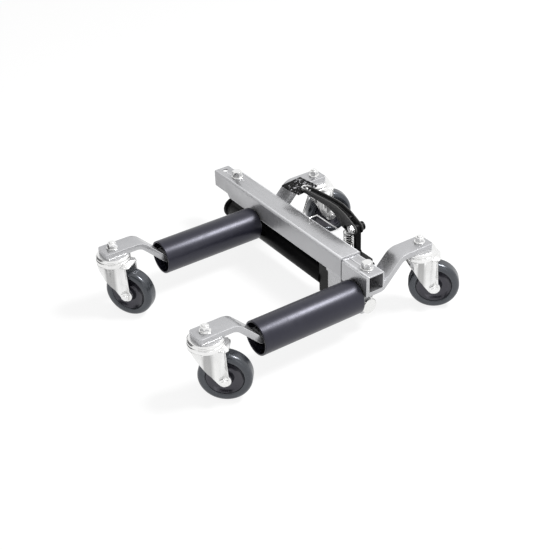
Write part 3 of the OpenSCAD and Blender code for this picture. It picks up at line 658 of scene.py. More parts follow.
def coil_tree():
    """A spring of round wire, standing on the origin."""
    t = Tree("Coil spring", Turns="Float", Radius="Float", Height="Float", Wire="Float", Material="Material")
    spiral = t.add(
        "GeometryNodeCurveSpiral", Resolution=32, Rotations=t.given("Turns"), Height=t.given("Height"))
    t.join(t.given("Radius"), spiral.inputs["Start Radius"])
    t.join(t.given("Radius"), spiral.inputs["End Radius"])
    circle = t.add("GeometryNodeCurvePrimitiveCircle", Resolution=12, Radius=t.given("Wire"))
    wire = t.add(
        "GeometryNodeCurveToMesh", Curve=spiral.outputs[0], Profile_Curve=circle.outputs[0], Fill_Caps=True)
    return t.finish(wire.outputs[0])


def grains_tree():
    """Grit grains scattered over faces with a fixed seed."""
    t = Tree("Grit grains", Density="Float", Size="Float", Material="Material")
    area = t.add(
        "GeometryNodeDistributePointsOnFaces", {"distribute_method": "RANDOM"},
        Mesh=t.given("Geometry"), Density=t.given("Density"), Seed=7)
    grain = t.add("GeometryNodeMeshIcoSphere", Radius=t.given("Size"), Subdivisions=1)
    turn = t.add("FunctionNodeRandomValue", {"data_type": "FLOAT_VECTOR"}, Seed=3)
    grow = t.add("FunctionNodeRandomValue", {"data_type": "FLOAT"}, Seed=5)
    largest_turn, smallest, largest = turn.inputs[1], grow.inputs[2], grow.inputs[3]
    largest_turn.default_value = (6.28, 6.28, 6.28)
    smallest.default_value = 0.35
    largest.default_value = 1.0
    spread = t.add(
        "GeometryNodeInstanceOnPoints", Points=area.outputs[0], Instance=grain.outputs[0],
        Rotation=turn.outputs[0], Scale=grow.outputs[1])
    return t.finish(spread.outputs[0])


def points_mesh(name, spots):
    """Loose points that each carry a turn. A spot is (place, turn), in metres and radians."""
    mesh = bpy.data.meshes.new(name)
    mesh.from_pydata([tuple(place) for place, _ in spots], [], [])
    turn = mesh.attributes.new("turn", "FLOAT_VECTOR", "POINT")
    for item, (_, angles) in zip(turn.data, spots):
        item.vector = angles
    return mesh


TREES = {}


def set_copies(name, source, spots, body, slot, stands_for=()):
    """One mesh of copies of a shape on the given spots."""
    piece = link(name, points_mesh(name, spots))
    run_tree(piece, TREES["copies"], Source=source, Material=material(slot))
    return settle(piece, body, slot, stands_for)


def along_paths(name, paths, slot, radius, ripple, swell=0.0):
    """Round beads or wires along paths given in metres."""
    mesh = bpy.data.meshes.new(name)
    verts, edges = [], []
    for path in paths:
        first = len(verts)
        verts += [tuple(p) for p in path]
        edges += [(first + i, first + i + 1) for i in range(len(path) - 1)]
    mesh.from_pydata(verts, edges, [])
    piece = link(name, mesh)
    finish = material(slot)
    return run_tree(piece, TREES["bead"], Radius=radius, Ripple=ripple, Swell=swell, Material=finish)


def weld(name, paths, body):
    """Rippled weld beads under the grey paint."""
    piece = along_paths(name, paths, "grey_paint", sizes().bead, sizes().ripple, swell=0.12)
    settle(piece, body, "grey_paint", crease=80.0)


# Fasteners, each standing on the face that its washer lies on


HEX_STEPS = 8


def hex_outline(across, limit):
    """A level hexagon with its corners cut back to a limit."""
    points = []
    for k in range(6 * HEX_STEPS):
        turn = math.radians(60 * k / HEX_STEPS - 30)
        off_flat = math.radians(60 * (k % HEX_STEPS) / HEX_STEPS - 30)
        r = min(across / 2 / math.cos(off_flat), limit)
        points.append((r * math.cos(turn), r * math.sin(turn)))
    return points


def hex_shape(across, height, washer_r, washer_h, turned):
    """A hexagon with turned corners on a washer, with turned outlines added."""
    shape = bmesh.new()
    corner = across / math.sqrt(3)
    cut = (corner - across / 2) * 1.1
    levels = [(washer_h, corner)]
    for k in range(5):
        share = k / 4
        levels.append((washer_h + height - cut * 0.6 * (1 - share), corner - cut * share ** 1.5))
    rings = [[shape.verts.new((x, y, z)) for x, y in hex_outline(across, limit)] for z, limit in levels]
    join_rings(shape, rings)
    shape.faces.new(rings[-1])
    shape.faces.new(list(reversed(rings[0])))
    for outline in (peg(washer_r, 0, washer_h, 0.2, 0.5), *turned):
        extra = lathe(filleted(outline, 3), 40)
        mesh = bpy.data.meshes.new("part")
        extra.to_mesh(mesh)
        extra.free()
        shape.from_mesh(mesh)
        bpy.data.meshes.remove(mesh)
    return shape


def source_object(name, shape):
    """An object outside the scene that copies are taken from."""
    return bpy.data.objects.new(name, to_mesh(name, shape))


def wheel_turn(corner):
    """How far a caster is turned about its pin, in radians."""
    pin = Vector(JOINTS[f"swivel_{corner}_turn"]["pos_m"])
    hub = Vector(JOINTS[f"wheel_{corner}_spin"]["pos_m"])
    return math.atan2(hub.y - pin.y, hub.x - pin.x)


def build_swivel_pins():
    """Nut, washer and threaded end above each arm, and the pin with its flange below."""
    across = sizes().pin_nut / MM
    stud = peg(5.4, 11.0, 14.2, high_round=0.9)
    shank = [(0, -35.8, 0), (10, -35.8, 0.6), (10, -32.8, 0.6), (6, -32.8, 0), (6, 0.5, 0), (0, 0.5, 0)]
    shape = hex_shape(across, 9.5, washer_r=across / 2 + 3, washer_h=2.0, turned=[stud, shank])
    nut = source_object("pin_nut_source", shape)
    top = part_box("left_front_arm")[1].z
    for side, body in SIDE_BODY.items():
        corners = [c for c in CORNERS if c.endswith(side)]
        spots = []
        for corner in corners:
            pin = JOINTS[f"swivel_{corner}_turn"]["pos_m"]
            spots.append(((pin[0], pin[1], top), (0.0, 0.0, wheel_turn(corner))))
        set_copies(f"swivel_pins_{side}", nut, spots, body, "zinc", [f"kingpin_{c}" for c in corners])


def build_beam_bolts():
    """Hexagon bolts through the sleeve and the tube."""
    head_h, washer_h = 12.0, 2.0
    tail = peg(5, -11.0, 0.5, low_round=0.5)
    shape = hex_shape(19.0, head_h, washer_r=12.5, washer_h=washer_h, turned=[tail])
    head = source_object("beam_bolt_source", shape)
    for node in ("sleeve_bolt", "tube_bolt"):
        centre = middle(node)
        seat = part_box(node)[1].z - (head_h + washer_h) * MM
        spot = ((centre.x, centre.y, seat), (0.0, 0.0, 0.35))
        set_copies(node + "_dressed", head, [spot], BODY_OF[node], "zinc", [node])


def build_axle_bolts():
    """Wheel axles: on each leg of a fork a hexagon, its washer and end, and half of the bolt inside."""
    half = peg(5, -22.2, 0.5)
    end = peg(4.6, 5.5, 7.7, high_round=0.7)
    shape = hex_shape(16.0, 4.8, washer_r=9.8, washer_h=1.2, turned=[half, end])
    bolt = source_object("axle_bolt_source", shape)
    for corner in CORNERS:
        centre = Vector(JOINTS[f"wheel_{corner}_spin"]["pos_m"])
        axis = Vector(JOINTS[f"wheel_{corner}_spin"]["axis"])
        spots = []
        for way in (-axis, axis):
            spots.append((centre + way * LEG_OUT * MM, tuple(way.to_track_quat("Z", "Y").to_euler())))
        set_copies(f"axle_{corner}_dressed", bolt, spots, f"swivel_{corner}", "zinc", [f"axle_{corner}"])


def build_pedal_pivot():
    """Bolt that the pedal turns on, and the black boss round it."""
    centre = middle("pedal_pivot")
    seat = Vector((centre.x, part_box("pedal_pivot")[0].y + 6.3 * MM, centre.z))
    pin = peg(5, -20.0, 8.0, high_round=0.6)
    shape = hex_shape(16.0, 5.0, washer_r=8.8, washer_h=0.8, turned=[pin])
    bolt = source_object("pivot_bolt_source", shape)
    spot = (seat, (math.radians(90), 0.0, 0.0))
    set_copies("pedal_pivot_dressed", bolt, [spot], "fixed_side", "bright_steel", ["pedal_pivot"])
    boss = lathe(filleted(peg(9, -16.6, -9.0, high_round=1.5)), 40)
    place = Matrix.Translation(seat) @ FORWARD @ Matrix.Translation((0, 0, -9.5 * MM))
    settle(piece_from("pivot_boss", boss, place), "fixed_side", "black_paint")


# Casters: the pin stands on Z and the wheel hangs behind it on X


TRAIL = 31.0
AXLE_HIGH = 50.0
EYE_R = 12.9
EYE_START = 219
EYE_END = 408
LEG_OUT = 22.0
HEAD_R = 34.4
SKIRT_R = 34.1
SKIRT_HIGH = 114.9
LIP_X = 42.0
CROWN_LOW = 110.0
CROWN_HIGH = 124.1
RACE_LOW = 124.6
RACE_HIGH = 130.5
PIN_HOLE_R = 6.1
WHEEL_HALF = 15.7
TREAD_R = 49.95
SHOULDER_R = 9.0
HUB_HALF = 18.1


def corner_matrix(corner):
    """From a caster's own place to its place under the machine."""
    pin = Vector(JOINTS[f"swivel_{corner}_turn"]["pos_m"])
    return Matrix.Translation((pin.x, pin.y, 0.0)) @ Matrix.Rotation(wheel_turn(corner), 4, "Z")


def leg_line():
    """Level line of one fork side: round front, fold inward, flat leg. Y is positive."""
    front = arc(0.0, 0.0, SKIRT_R, 180, 100, 14)
    fold = [(-3.0, 33.6), (0.0, 32.6), (2.8, 30.6), (5.0, 27.8), (7.2, 25.0), (9.4, 23.0), (12.0, LEG_OUT)]
    flat = [(12.0 + k * 4.0, LEG_OUT) for k in range(1, 9)]
    return front + fold + flat


def inset_line(line, depth):
    """The same line moved inward by the sheet's thickness."""
    moved = []
    for i, point in enumerate(line):
        before = Vector(line[max(i - 1, 0)])
        after = Vector(line[min(i + 1, len(line) - 1)])
        along = (after - before).normalized()
        moved.append((point[0] + along.y * depth, point[1] - along.x * depth))
    moved[0] = (line[0][0] + depth, line[0][1])
    return moved


def leg_profile():
    """Side outline of the fork in level distance and height."""
    rim = [(-HEAD_R, SKIRT_HIGH), (-HEAD_R, 113.6), (-24.4, CROWN_LOW + 2.8)]
    front = [(-17.4, 104.0), (-10.0, 94.6), (-3.0, 84.0), (2.2, 74.3), (6.8, 63.4), (12.0, 53.0)]
    eye = arc(TRAIL, AXLE_HIGH, EYE_R, EYE_START, EYE_END, 22)
    return [*rim, *front, *eye, (38.2, 88.0), (36.5, SKIRT_HIGH)]


def bent_point(x, outer, line):
    """The point of a line where the fork's outer line has the level distance x."""
    last = len(outer) - 2
    for i in range(last + 1):
        a, b = outer[i][0], outer[i + 1][0]
        if x <= b + 0.011 or i == last:
            share = 0.0 if b == a else max(0.0, (x - a) / (b - a))
            return tuple(Vector(line[i]).lerp(Vector(line[i + 1]), share))


def fork_side(shape, sign, thick):
    """One pressed side of the fork: the flat outline is cut into strips and bent round the line."""
    outer = leg_line()
    start = outer[0][0]
    flat = bmesh.new()
    flat.faces.new([flat.verts.new((x, 0.0, z)) for x, z in leg_profile()])
    for x, _ in outer[1:]:
        bmesh.ops.bisect_plane(
            flat, geom=flat.verts[:] + flat.edges[:] + flat.faces[:], dist=0.01,
            plane_co=(x, 0.0, 0.0), plane_no=(1.0, 0.0, 0.0))
    skins = []
    for line in (outer, inset_line(outer, thick)):
        skin = {}
        for vert in flat.verts:
            x, y = bent_point(max(vert.co.x, start), outer, line)
            skin[vert] = shape.verts.new((x, sign * y, vert.co.z))
        skins.append(skin)
    outside, inside = skins
    for face in flat.faces:
        shape.faces.new([outside[v] for v in face.verts])
        shape.faces.new([inside[v] for v in reversed(face.verts)])
    for edge in flat.edges:
        a, b = edge.verts
        if edge.is_boundary and max(a.co.x, b.co.x) >= start + 0.02:
            shape.faces.new([outside[a], outside[b], inside[b], inside[a]])
    flat.free()


def crown_shape():
    """Domed head of the fork with its rolled rim."""
    low = CROWN_LOW
    return lathe(filleted([
        (PIN_HOLE_R, low + 3.4, 0), (HEAD_R - 1.4, low + 3.4, 0.2), (HEAD_R - 1.2, low + 5.2, 0.3),
        (HEAD_R, low + 5.8, 0.5), (HEAD_R, low + 12.4, 2.2), (HEAD_R - 2.6, CROWN_HIGH, 1.0),
        (PIN_HOLE_R, CROWN_HIGH, 0)]), 96)


def lip_shape():
    """Rear lip of the crown over the wheel: it slopes down to a rounded edge."""
    near, side, bend = 4.0, LEG_OUT, 9.0
    outline = filleted([(near, -side, 0), (LIP_X, -side, bend), (LIP_X, side, bend), (near, side, 0)], 10)
    inner = [(x * 0.86 if x > 5 else x, y * 0.80) for x, y in outline]
    shape = bmesh.new()
    levels = ((outline, 1.2), (outline, 3.4), (inner, 8.0))
    rings = [[shape.verts.new((x, y, CROWN_LOW + rise)) for x, y in line] for line, rise in levels]
    shape.faces.new(list(reversed(rings[0])))
    shape.faces.new(rings[2])
    join_rings(shape, rings)
    bmesh.ops.recalc_face_normals(shape, faces=shape.faces)
    return shape


def mark_fold_shade(mesh):
    """Writes the attribute named bend: 1 on the fold between a fork's round front and its leg, where the zinc is
    darkened as painted shade.
    """
    bend = mesh.attributes.new("bend", "FLOAT", "POINT")
    for item, vert in zip(bend.data, mesh.vertices):
        x = vert.co.x / MM
        item.value = max(0.0, min(1.0, (x + 4) / 4, (13.5 - x) / 3))


def build_fork(corner):
    """Pressed legs, domed crown and rear lip of one caster."""
    body = f"swivel_{corner}"
    place = corner_matrix(corner)
    shape = bmesh.new()
    for sign in (-1, 1):
        fork_side(shape, sign, sizes().sheet / MM)
    bmesh.ops.remove_doubles(shape, verts=shape.verts, dist=0.004)
    bmesh.ops.recalc_face_normals(shape, faces=shape.faces)
    legs = soften(piece_from(f"fork_legs_{corner}", shape), 0.0006, angle=50.0)
    # Painted shade on the fold between the round front and the leg
    mark_fold_shade(legs.data)
    legs.data.transform(place)
    settle(legs, body, "zinc", [f"fork_{corner}"], crease=48.0)
    settle(piece_from(f"crown_{corner}", crown_shape(), place), body, "zinc", crease=45.0)
    lip = soften(piece_from(f"crown_lip_{corner}", lip_shape()), 0.0012, segments=3, angle=50.0)
    lip.data.transform(place)
    settle(lip, body, "zinc", crease=48.0)


def build_race(corner):
    """Upper ball race between the arm and the crown."""
    node = f"race_{corner}"
    low, high = RACE_LOW, RACE_HIGH
    shape = lathe(filleted([
        (PIN_HOLE_R, low + 2.0, 0), (26.0, low + 2.0, 0.6), (28.0, low, 0.5), (33.8, low, 0.9),
        (33.8, low + 2.8, 1.4), (31.0, high, 1.2), (PIN_HOLE_R, high, 0)]), 96)
    piece = piece_from(node + "_dressed", shape, corner_matrix(corner))
    settle(piece, BODY_OF[node], "zinc", [node], crease=45.0)


def build_wheel(corner):
    """Rubber tyre on a moulded core."""
    hub = Matrix.Translation((TRAIL * MM, 0.0, AXLE_HIGH * MM))
    place = corner_matrix(corner) @ hub @ FORWARD
    half = WHEEL_HALF
    flank = [(41.0, half, 0), (38.6, half, 1.5), (36.6, half - 0.5, 1.6), (34.2, 12.8, 0)]
    tyre = filleted([(r, -z, bend) for r, z, bend in reversed(flank)])[:-1]
    tyre += arc(TREAD_R - SHOULDER_R, SHOULDER_R - half, SHOULDER_R, -90, 0, 14)
    tyre += arc(TREAD_R - SHOULDER_R, half - SHOULDER_R, SHOULDER_R, 0, 90, 14)
    tyre += filleted(flank)[1:]
    piece = piece_from(f"tyre_{corner}_dressed", lathe(tyre, 96), place)
    settle(piece, f"wheel_{corner}", "tyre_rubber", [f"tyre_{corner}"], crease=50.0)
    end = HUB_HALF
    face = [(5.1, end), (11.3, end), (12.6, end - 0.8), (13.4, end - 2.2), (13.9, 13.0), (14.8, 9.8),
            (16.5, 7.4), (19.0, 6.4), (22.0, 6.5), (25.0, 7.1), (28.0, 8.3), (30.5, 9.8),
            (32.6, 11.5), (34.15, 12.9)]
    core = [(r, -z) for r, z in face] + list(reversed(face))
    piece = piece_from(f"core_{corner}_dressed", lathe(core, 96), place)
    settle(piece, f"wheel_{corner}", "core_black", [f"core_{corner}"], crease=60.0)


# Rollers


def build_roller(side):
    """Hollow roller with a rolled mouth and a rounded closed end."""
    node = f"{side}_roller"
    low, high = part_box(node)
    span = (high.y - low.y) / MM
    outer = (high.x - low.x) / 2 / MM
    bore, wall, end = 10.6, 3.5, 5.0
    outline = filleted([
        (bore, 0.0, 0), (outer, 0.0, 6.0), (outer, span, 1.3), (outer - wall, span, 1.0),
        (outer - wall, end, 1.0), (bore, end, 0)], 8)
    centre = middle(node)
    place = Matrix.Translation((centre.x, high.y, centre.z)) @ FORWARD
    piece = piece_from(node + "_dressed", lathe(outline, 128), place)
    settle(piece, BODY_OF[node], "roller_black", [node], crease=40.0)


# Foot pedal. The lever's own zero lies 100 mm right of its left end, and its heights are the machine's


LEVER_LEFT = -100.0
LEVER_TOP = [(-100.0, 176.0), (1.0, 186.0), (25.0, 186.0), (50.0, 181.0), (84.4, 167.0), (86.9, 164.2),
             (88.6, 160.4), (89.0, 157.0)]
LEVER_LOW = [(-100.0, 168.0), (-4.0, 171.0), (20.0, 165.0), (44.0, 147.0), (64.0, 144.0), (76.0, 144.0),
             (82.5, 145.8), (87.3, 150.5), (88.8, 154.5), (89.0, 157.0)]
LEVER_STOPS = (-80, -60, -40, -20, -8, 1, 8, 16, 25, 34, 44, 50, 56, 60, 64, 70, 76, 80, 84.4, 86.9, 88.2, 89)
LEVER_WALL = 2.4
WEB_DROP = 3.4
WEB_THICK = 2.2
WEB_START = (-99.0, -97.5, -95.0)
WEB_COUNT = 14  # how many of the lever's stops its web reaches
RIB_STOPS = (-88, -40, 1, 25, 50)
RIB_SIDE = 3.2
RIB_RISE = 0.3
RIVET_AT = -87.0
LIFT_PIN = (54.0, 152.0)
LIFT_PIN_R = 4
METAL_PATCH_END = -84.0


def level(line, x):
    """Height of a line of (x, height) points at x."""
    for (a, low), (b, high) in zip(line, line[1:]):
        if x <= b:
            return low + (high - low) * (x - a) / (b - a)
    return line[-1][1]


def lever_frame():
    """Where the lever's own zero lies, and half the lever's width."""
    low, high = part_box("pedal_lever")
    zero = Vector((low.x / MM - LEVER_LEFT, (low.y + high.y) / 2 / MM, 0.0))
    return zero, (high.y - low.y) / 2 / MM


def on_web(zero, x, y, rise=0.0):
    """A place on the lever's web, in metres."""
    return (zero + Vector((x, y, level(LEVER_TOP, x) - WEB_DROP + rise))) * MM


def round_ended(half, stops, left):
    """Level outline of the channel: one side, round the left end and back along the other side."""
    turn = arc(left, 0.0, half, 90, 270, 16)[1:-1]
    return [(x, half) for x in reversed(stops)] + turn + [(x, -half) for x in stops]


def channel_shape(zero, half):
    """Pressed channel, open above, with a rounded left end and a web a little below its top."""
    left = LEVER_LEFT + half
    stops = [left, *LEVER_STOPS]
    shape = bmesh.new()

    def ring(corners):
        return [shape.verts.new(zero + Vector(corner)) for corner in corners]

    walls = []
    outside = round_ended(half, stops, left)
    inside = round_ended(half - LEVER_WALL, stops, left)
    for (x, y), (u, v) in zip(outside, inside):
        top, base = level(LEVER_TOP, x), level(LEVER_LOW, x)
        walls.append(ring(((x, y, base), (x, y, top), (u, v, top), (u, v, base))))
    join_rings(shape, walls, flip=True)
    web = []
    reach = half - LEVER_WALL / 2
    for x in (*WEB_START, left, *LEVER_STOPS[:WEB_COUNT]):
        y = max(0.5, math.sqrt(max(0.0, reach ** 2 - min(0.0, x - left) ** 2)))
        top = level(LEVER_TOP, x) - WEB_DROP
        base = top - WEB_THICK
        web.append(ring(((x, y, top), (x, -y, top), (x, -y, base), (x, y, base))))
    shape.faces.new(web[0])
    shape.faces.new(list(reversed(web[-1])))
    join_rings(shape, web, flip=True)
    bmesh.ops.remove_doubles(shape, verts=shape.verts, dist=0.01)
    bmesh.ops.recalc_face_normals(shape, faces=shape.faces)
    return shape


def mark_metal_patches(mesh, zero):
    """Writes the lever's attribute: zinc-coloured metal in place of the paint at the left end, and a little along
    the top.
    """
    metal_patch = mesh.attributes.new("metal_patch", "FLOAT", "POINT")
    for item, vert in zip(metal_patch.data, mesh.vertices):
        x, z = vert.co.x / MM - zero.x, vert.co.z / MM
        amount, reach = (1.0, 2.2) if x < METAL_PATCH_END else (0.12, 0.9)
        item.value = amount if level(LEVER_TOP, x) - z < reach else 0.0


def build_lever():
    """Pedal channel with its ribs, rivet and lift pin."""
    zero, half = lever_frame()
    piece = soften(piece_from("pedal_channel", channel_shape(zero, half)), 0.0007, angle=40.0)
    mark_metal_patches(piece.data, zero)
    settle(piece, "pedal", "black_paint", ["pedal_lever"], crease=40.0)
    ribs = [[on_web(zero, x, y, RIB_RISE) for x in RIB_STOPS] for y in (-RIB_SIDE, RIB_SIDE)]
    piece = along_paths("pedal_ribs", ribs, "black_paint", radius=0.0009, ripple=0.004)
    settle(piece, "pedal", "black_paint", crease=60.0)
    dome = [(0, -0.5, 0), (3.4, -0.5, 0), (3.4, 0.3, 0.4), (2.2, 1.7, 0.9), (0, 2.0, 0)]
    rivet = source_object("rivet_source", lathe(filleted(dome), 24))
    set_copies("pedal_rivets", rivet, [(on_web(zero, RIVET_AT, 0.0), (0.0, 0.0, 0.0))], "pedal", "zinc")
    x, z = LIFT_PIN
    place = Matrix.Translation((zero + Vector((x, 0.0, z))) * MM) @ FORWARD
    pin = lathe([(0, -half), (LIFT_PIN_R, -half), (LIFT_PIN_R, half), (0, half)], 32)
    settle(piece_from("lift_pin", pin, place), "pedal", "black_paint", crease=40.0)


def build_grit():
    """Coarse grains over the top of the foot pad."""
    top = solid_copy("foot_pad")
    top.normal_update()
    bmesh.ops.delete(top, geom=[f for f in top.faces if f.normal.z < 0.9], context="FACES")
    density = sizes().grains / sum(f.calc_area() for f in top.faces)
    piece = piece_from("pad_grains", top, unit=1.0)
    run_tree(piece, TREES["grains"], Density=density, Size=sizes().grain, Material=material("grit_black"))
    settle(piece, "pedal", "grit_black", crease=20.0)


# Foot pump


def build_plunger():
    """Black plunger with its bright spring seat."""
    body = BODY_OF["pump_plunger"]
    low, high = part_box("pump_plunger")
    centre = middle("pump_plunger")
    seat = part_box("plunger_spring")[1].z / MM + 0.2
    place = Matrix.Translation((centre.x, centre.y, 0.0))
    stem = lathe(filleted(peg(5, low.z / MM, high.z / MM, 0.5, 0.8), 3), 40)
    settle(piece_from("plunger_stem", stem, place), body, "black_paint", ["pump_plunger"])
    disc = lathe(filleted([
        (4.9, seat, 0), (11.5, seat, 0.8), (11.5, seat + 3, 1.2), (8.5, seat + 3, 0.5),
        (7.6, seat + 2, 0.5), (4.9, seat + 2, 0)]), 56)
    settle(piece_from("spring_seat", disc, place), body, "bright_steel")


def build_spring():
    """Return spring, from the pump block up to the spring seat."""
    low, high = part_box("plunger_spring")
    centre = middle("plunger_spring")
    wire = sizes().spring_wire / 2
    coil = link("return_spring", bpy.data.meshes.new("return_spring"))
    run_tree(coil, TREES["coil"], Turns=sizes().spring_turns, Radius=(high.x - low.x) / 2 - wire,
             Height=high.z - low.z - 2 * wire, Wire=wire, Material=material("bright_steel"))
    coil.data.transform(Matrix.Translation((centre.x, centre.y, low.z + wire)))
    settle(coil, "fixed_side", "bright_steel", ["plunger_spring"], crease=60.0)
    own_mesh(coil)


def build_clip():
    """Wire hooks on a wire rim that stand on the spring seat."""
    centre = middle("pump_plunger")
    seat = Vector((centre.x, centre.y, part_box("plunger_spring")[1].z + 3.3 * MM))
    line = [(10.2, 0, -0.6), (10.7, 0, 2.0), (10.2, 0, 4.2), (8.8, 0, 5.6), (6.6, 0, 6.0)]
    paths = []
    for k in range(5):
        turn = Matrix.Rotation(math.radians(22 + 72 * k), 4, "Z")
        paths.append([turn @ (Vector(p) * MM) + seat for p in line])
    paths.append([Vector((x, y, 0.2)) * MM + seat for x, y in arc(0.0, 0.0, 11.0, 0, 360, 36)])
    piece = along_paths("spring_clip", paths, "bright_steel", radius=0.001, ripple=0.0016)
    settle(piece, BODY_OF["pump_plunger"], "bright_steel", crease=60.0)


# Welds, in metres


SEAM_INSET = 0.001
ARM_SEAM_SINK = 0.0004
TUBE_SEAM_SLANT = 0.0001
SADDLE_SEAM = (0.007, 0.025)


def build_welds():
    """Beads along the seams that show."""
    low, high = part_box("outer_sleeve")
    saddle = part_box("left_saddle")[0]
    left, right = (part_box(f"{side}_rear_arm") for side in SIDE_BODY)
    back, front = high.y - SEAM_INSET, low.y + SEAM_INSET
    arm_seam = [(arm.x, back, low.z - ARM_SEAM_SINK) for arm in left]
    saddle_seam = [(saddle.x + reach, front, low.z) for reach in SADDLE_SEAM]
    weld("welds_fixed", [arm_seam, saddle_seam], "fixed_side")
    tube_back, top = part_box("inner_tube")[1].y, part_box("right_saddle")[1].z
    tube_seam = [(right[0].x, tube_back - TUBE_SEAM_SLANT, top), (right[1].x, tube_back, top)]
    weld("welds_sliding", [tube_seam], "sliding_side")


def build_gusset_seam():
    """Fill of the seam between the front gusset and the sleeve above it."""
    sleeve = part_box("outer_sleeve")[0]
    low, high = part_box("front_gusset")
    section = [(0.00005, 0.0055), (0.00005, -0.0015), (0.0035, -0.0015), (0.0045, 0.0055)]
    strip = bmesh.new()
    rows = []
    for x in (low.x + 0.001, high.x - 0.0004):
        rows.append([strip.verts.new((x, sleeve.y + y, sleeve.z + z)) for y, z in section])
    join_rings(strip, rows)
    strip.faces.new(rows[0])
    strip.faces.new(list(reversed(rows[1])))
    bmesh.ops.recalc_face_normals(strip, faces=strip.faces)
    settle(piece_from("gusset_seam", strip, unit=1.0), "fixed_side", "grey_paint", crease=30.0)


# Stage and camera, in metres and degrees


CAMERA_AT = (1.6317, -1.04195, 1.2974)
CAMERA_TURN = 56.68
CAMERA_DOWN = 33.08
CAMERA_ROLL = -2.21
CAMERA_LENS = 74.42
CAMERA_SENSOR = 36.0
WHITE = (1.0, 1.0, 1.0, 1.0)
WORLD_LIGHT = 0.46
FLOOR_REACH = 6.0
FLOOR_LIT = (0.9, 0.9, 0.9, 1.0)
FLOOR_SEEN = (0.2, 0.2, 0.2, 1.0)
FLOOR_GLOW = 0.84
AIM = (0.05, 0.0, 0.1)
# Each lamp is its name, place, size and power
LAMPS = (("key", (0.85, 1.2, 2.3), 0.7, 62.0), ("fill", (2.5, -0.7, 1.0), 1.2, 4.0))
CARD_COLOUR = (0.02, 0.02, 0.022, 1.0)
CARD_REACH = 2.6
# Each standing card is the angles where it starts and ends round the object, and its low and high edge
DARK_CARDS = ((190.0, 250.0, 0.25, 3.2), (286.0, 345.0, 0.8, 1.9))
# The card on the floor behind the beam, given as its left, front, right and back, is painted shade: reflections
# see it in place of the shadowed floor under the machine
FLOOR_SHADE_CARD = (-0.13, 0.14, 0.16, 0.36)
FLOOR_SHADE_CARD_HIGH = 0.001


def camera_matrix():
    turn, down, roll = (math.radians(v) for v in (CAMERA_TURN, CAMERA_DOWN, CAMERA_ROLL))
    side = Vector((math.cos(turn), math.sin(turn), 0.0))
    ahead = Vector((-math.sin(turn) * math.cos(down), math.cos(turn) * math.cos(down), -math.sin(down)))
    above = side.cross(ahead)
    x_axis = side * math.cos(roll) + above * math.sin(roll)
    y_axis = above * math.cos(roll) - side * math.sin(roll)
    turned = Matrix((x_axis, y_axis, -ahead)).transposed().to_4x4()
    return Matrix.Translation(CAMERA_AT) @ turned


def build_camera():
    """The camera of the photo, as fitted to the machine's edges."""
    data = bpy.data.cameras.new("Camera")
    data.sensor_width = CAMERA_SENSOR
    data.lens = CAMERA_LENS
    camera = link("Camera", data)
    camera.matrix_world = camera_matrix()
    bpy.context.scene.camera = camera


def seen_or_lit(s, seen, lit):
    """Mixes what the camera, reflections and glass see with what lights the object."""
    looked_at = 0.0
    for ray in ("Camera", "Glossy", "Transmission"):
        looked_at = s.math("MAXIMUM", looked_at, s.node("ShaderNodeLightPath", {}, {}, f"Is {ray} Ray"))
    return s.node("ShaderNodeMixShader", {}, {0: looked_at, 1: lit, 2: seen})


def build_world():
    """Light from all round. It is white where it is seen."""
    world = bpy.data.worlds.new("Studio")
    bpy.context.scene.world = world
    world.use_nodes = True
    s = ShaderTree(world.node_tree)
    s.tree.nodes.clear()
    seen = s.node("ShaderNodeBackground", {}, {"Color": WHITE})
    lit = s.node("ShaderNodeBackground", {}, {"Color": WHITE, "Strength": WORLD_LIGHT})
    s.node("ShaderNodeOutputWorld", {}, {0: seen_or_lit(s, seen, lit)})


def build_floor():
    """Pale floor. What the camera sees of it is lifted to white, and the shadow stays."""
    side = FLOOR_REACH
    corners = [(-side, -side, 0), (side, -side, 0), (side, side, 0), (-side, side, 0)]
    mesh = bpy.data.meshes.new("floor")
    mesh.from_pydata(corners, [], [(0, 1, 2, 3)])
    finish = bpy.data.materials.new("floor")
    finish.use_nodes = True
    s = ShaderTree(finish.node_tree)
    s.tree.nodes.clear()
    plain = s.node("ShaderNodeBsdfDiffuse", {}, {"Color": FLOOR_LIT})
    soft = s.node("ShaderNodeBsdfDiffuse", {}, {"Color": FLOOR_SEEN})
    glow = s.node("ShaderNodeEmission", {}, {"Color": WHITE, "Strength": FLOOR_GLOW})
    lifted = s.node("ShaderNodeAddShader", {}, {0: soft, 1: glow})
    s.node("ShaderNodeOutputMaterial", {}, {0: seen_or_lit(s, lifted, plain)})
    mesh.materials.append(finish)
    floor = link("floor", mesh)


def build_dark_cards():
    """Dark cards that only reflections see: two far outside the view, and one on the floor that is painted shade
    for the shadowed floor under the machine.
    """
    finish = bpy.data.materials.new("dark_card")
    finish.use_nodes = True
    finish.node_tree.nodes["Principled BSDF"].inputs["Base Color"].default_value = CARD_COLOUR
    strips = []
    for start, end, low, high in DARK_CARDS:
        strips.append([(x, y, z) for x, y in arc(0.0, 0.0, CARD_REACH, start, end, 12) for z in (low, high)])
    # Painted shade: reflections of the floor under the machine see this dark card.
    left, front, right, back = FLOOR_SHADE_CARD
    strips.append([(x, y, FLOOR_SHADE_CARD_HIGH) for x in (left, right) for y in (front, back)])
    for i, verts in enumerate(strips):
        mesh = bpy.data.meshes.new(f"dark_card_{i}")
        mesh.from_pydata(verts, [], [(k, k + 1, k + 3, k + 2) for k in range(0, len(verts) - 2, 2)])
        mesh.materials.append(finish)
        card = link(f"dark_card_{i}", mesh)
        card.visible_camera = False
        card.visible_diffuse = False
        card.visible_shadow = False


def build_lamp(name, place, size, power):
    data = bpy.data.lights.new(name, "AREA")
    data.size = size
    data.energy = power
    lamp = link(name, data)
    lamp.location = place
    lamp.rotation_euler = (Vector(AIM) - Vector(place)).to_track_quat("-Z", "Y").to_euler()


# Operators


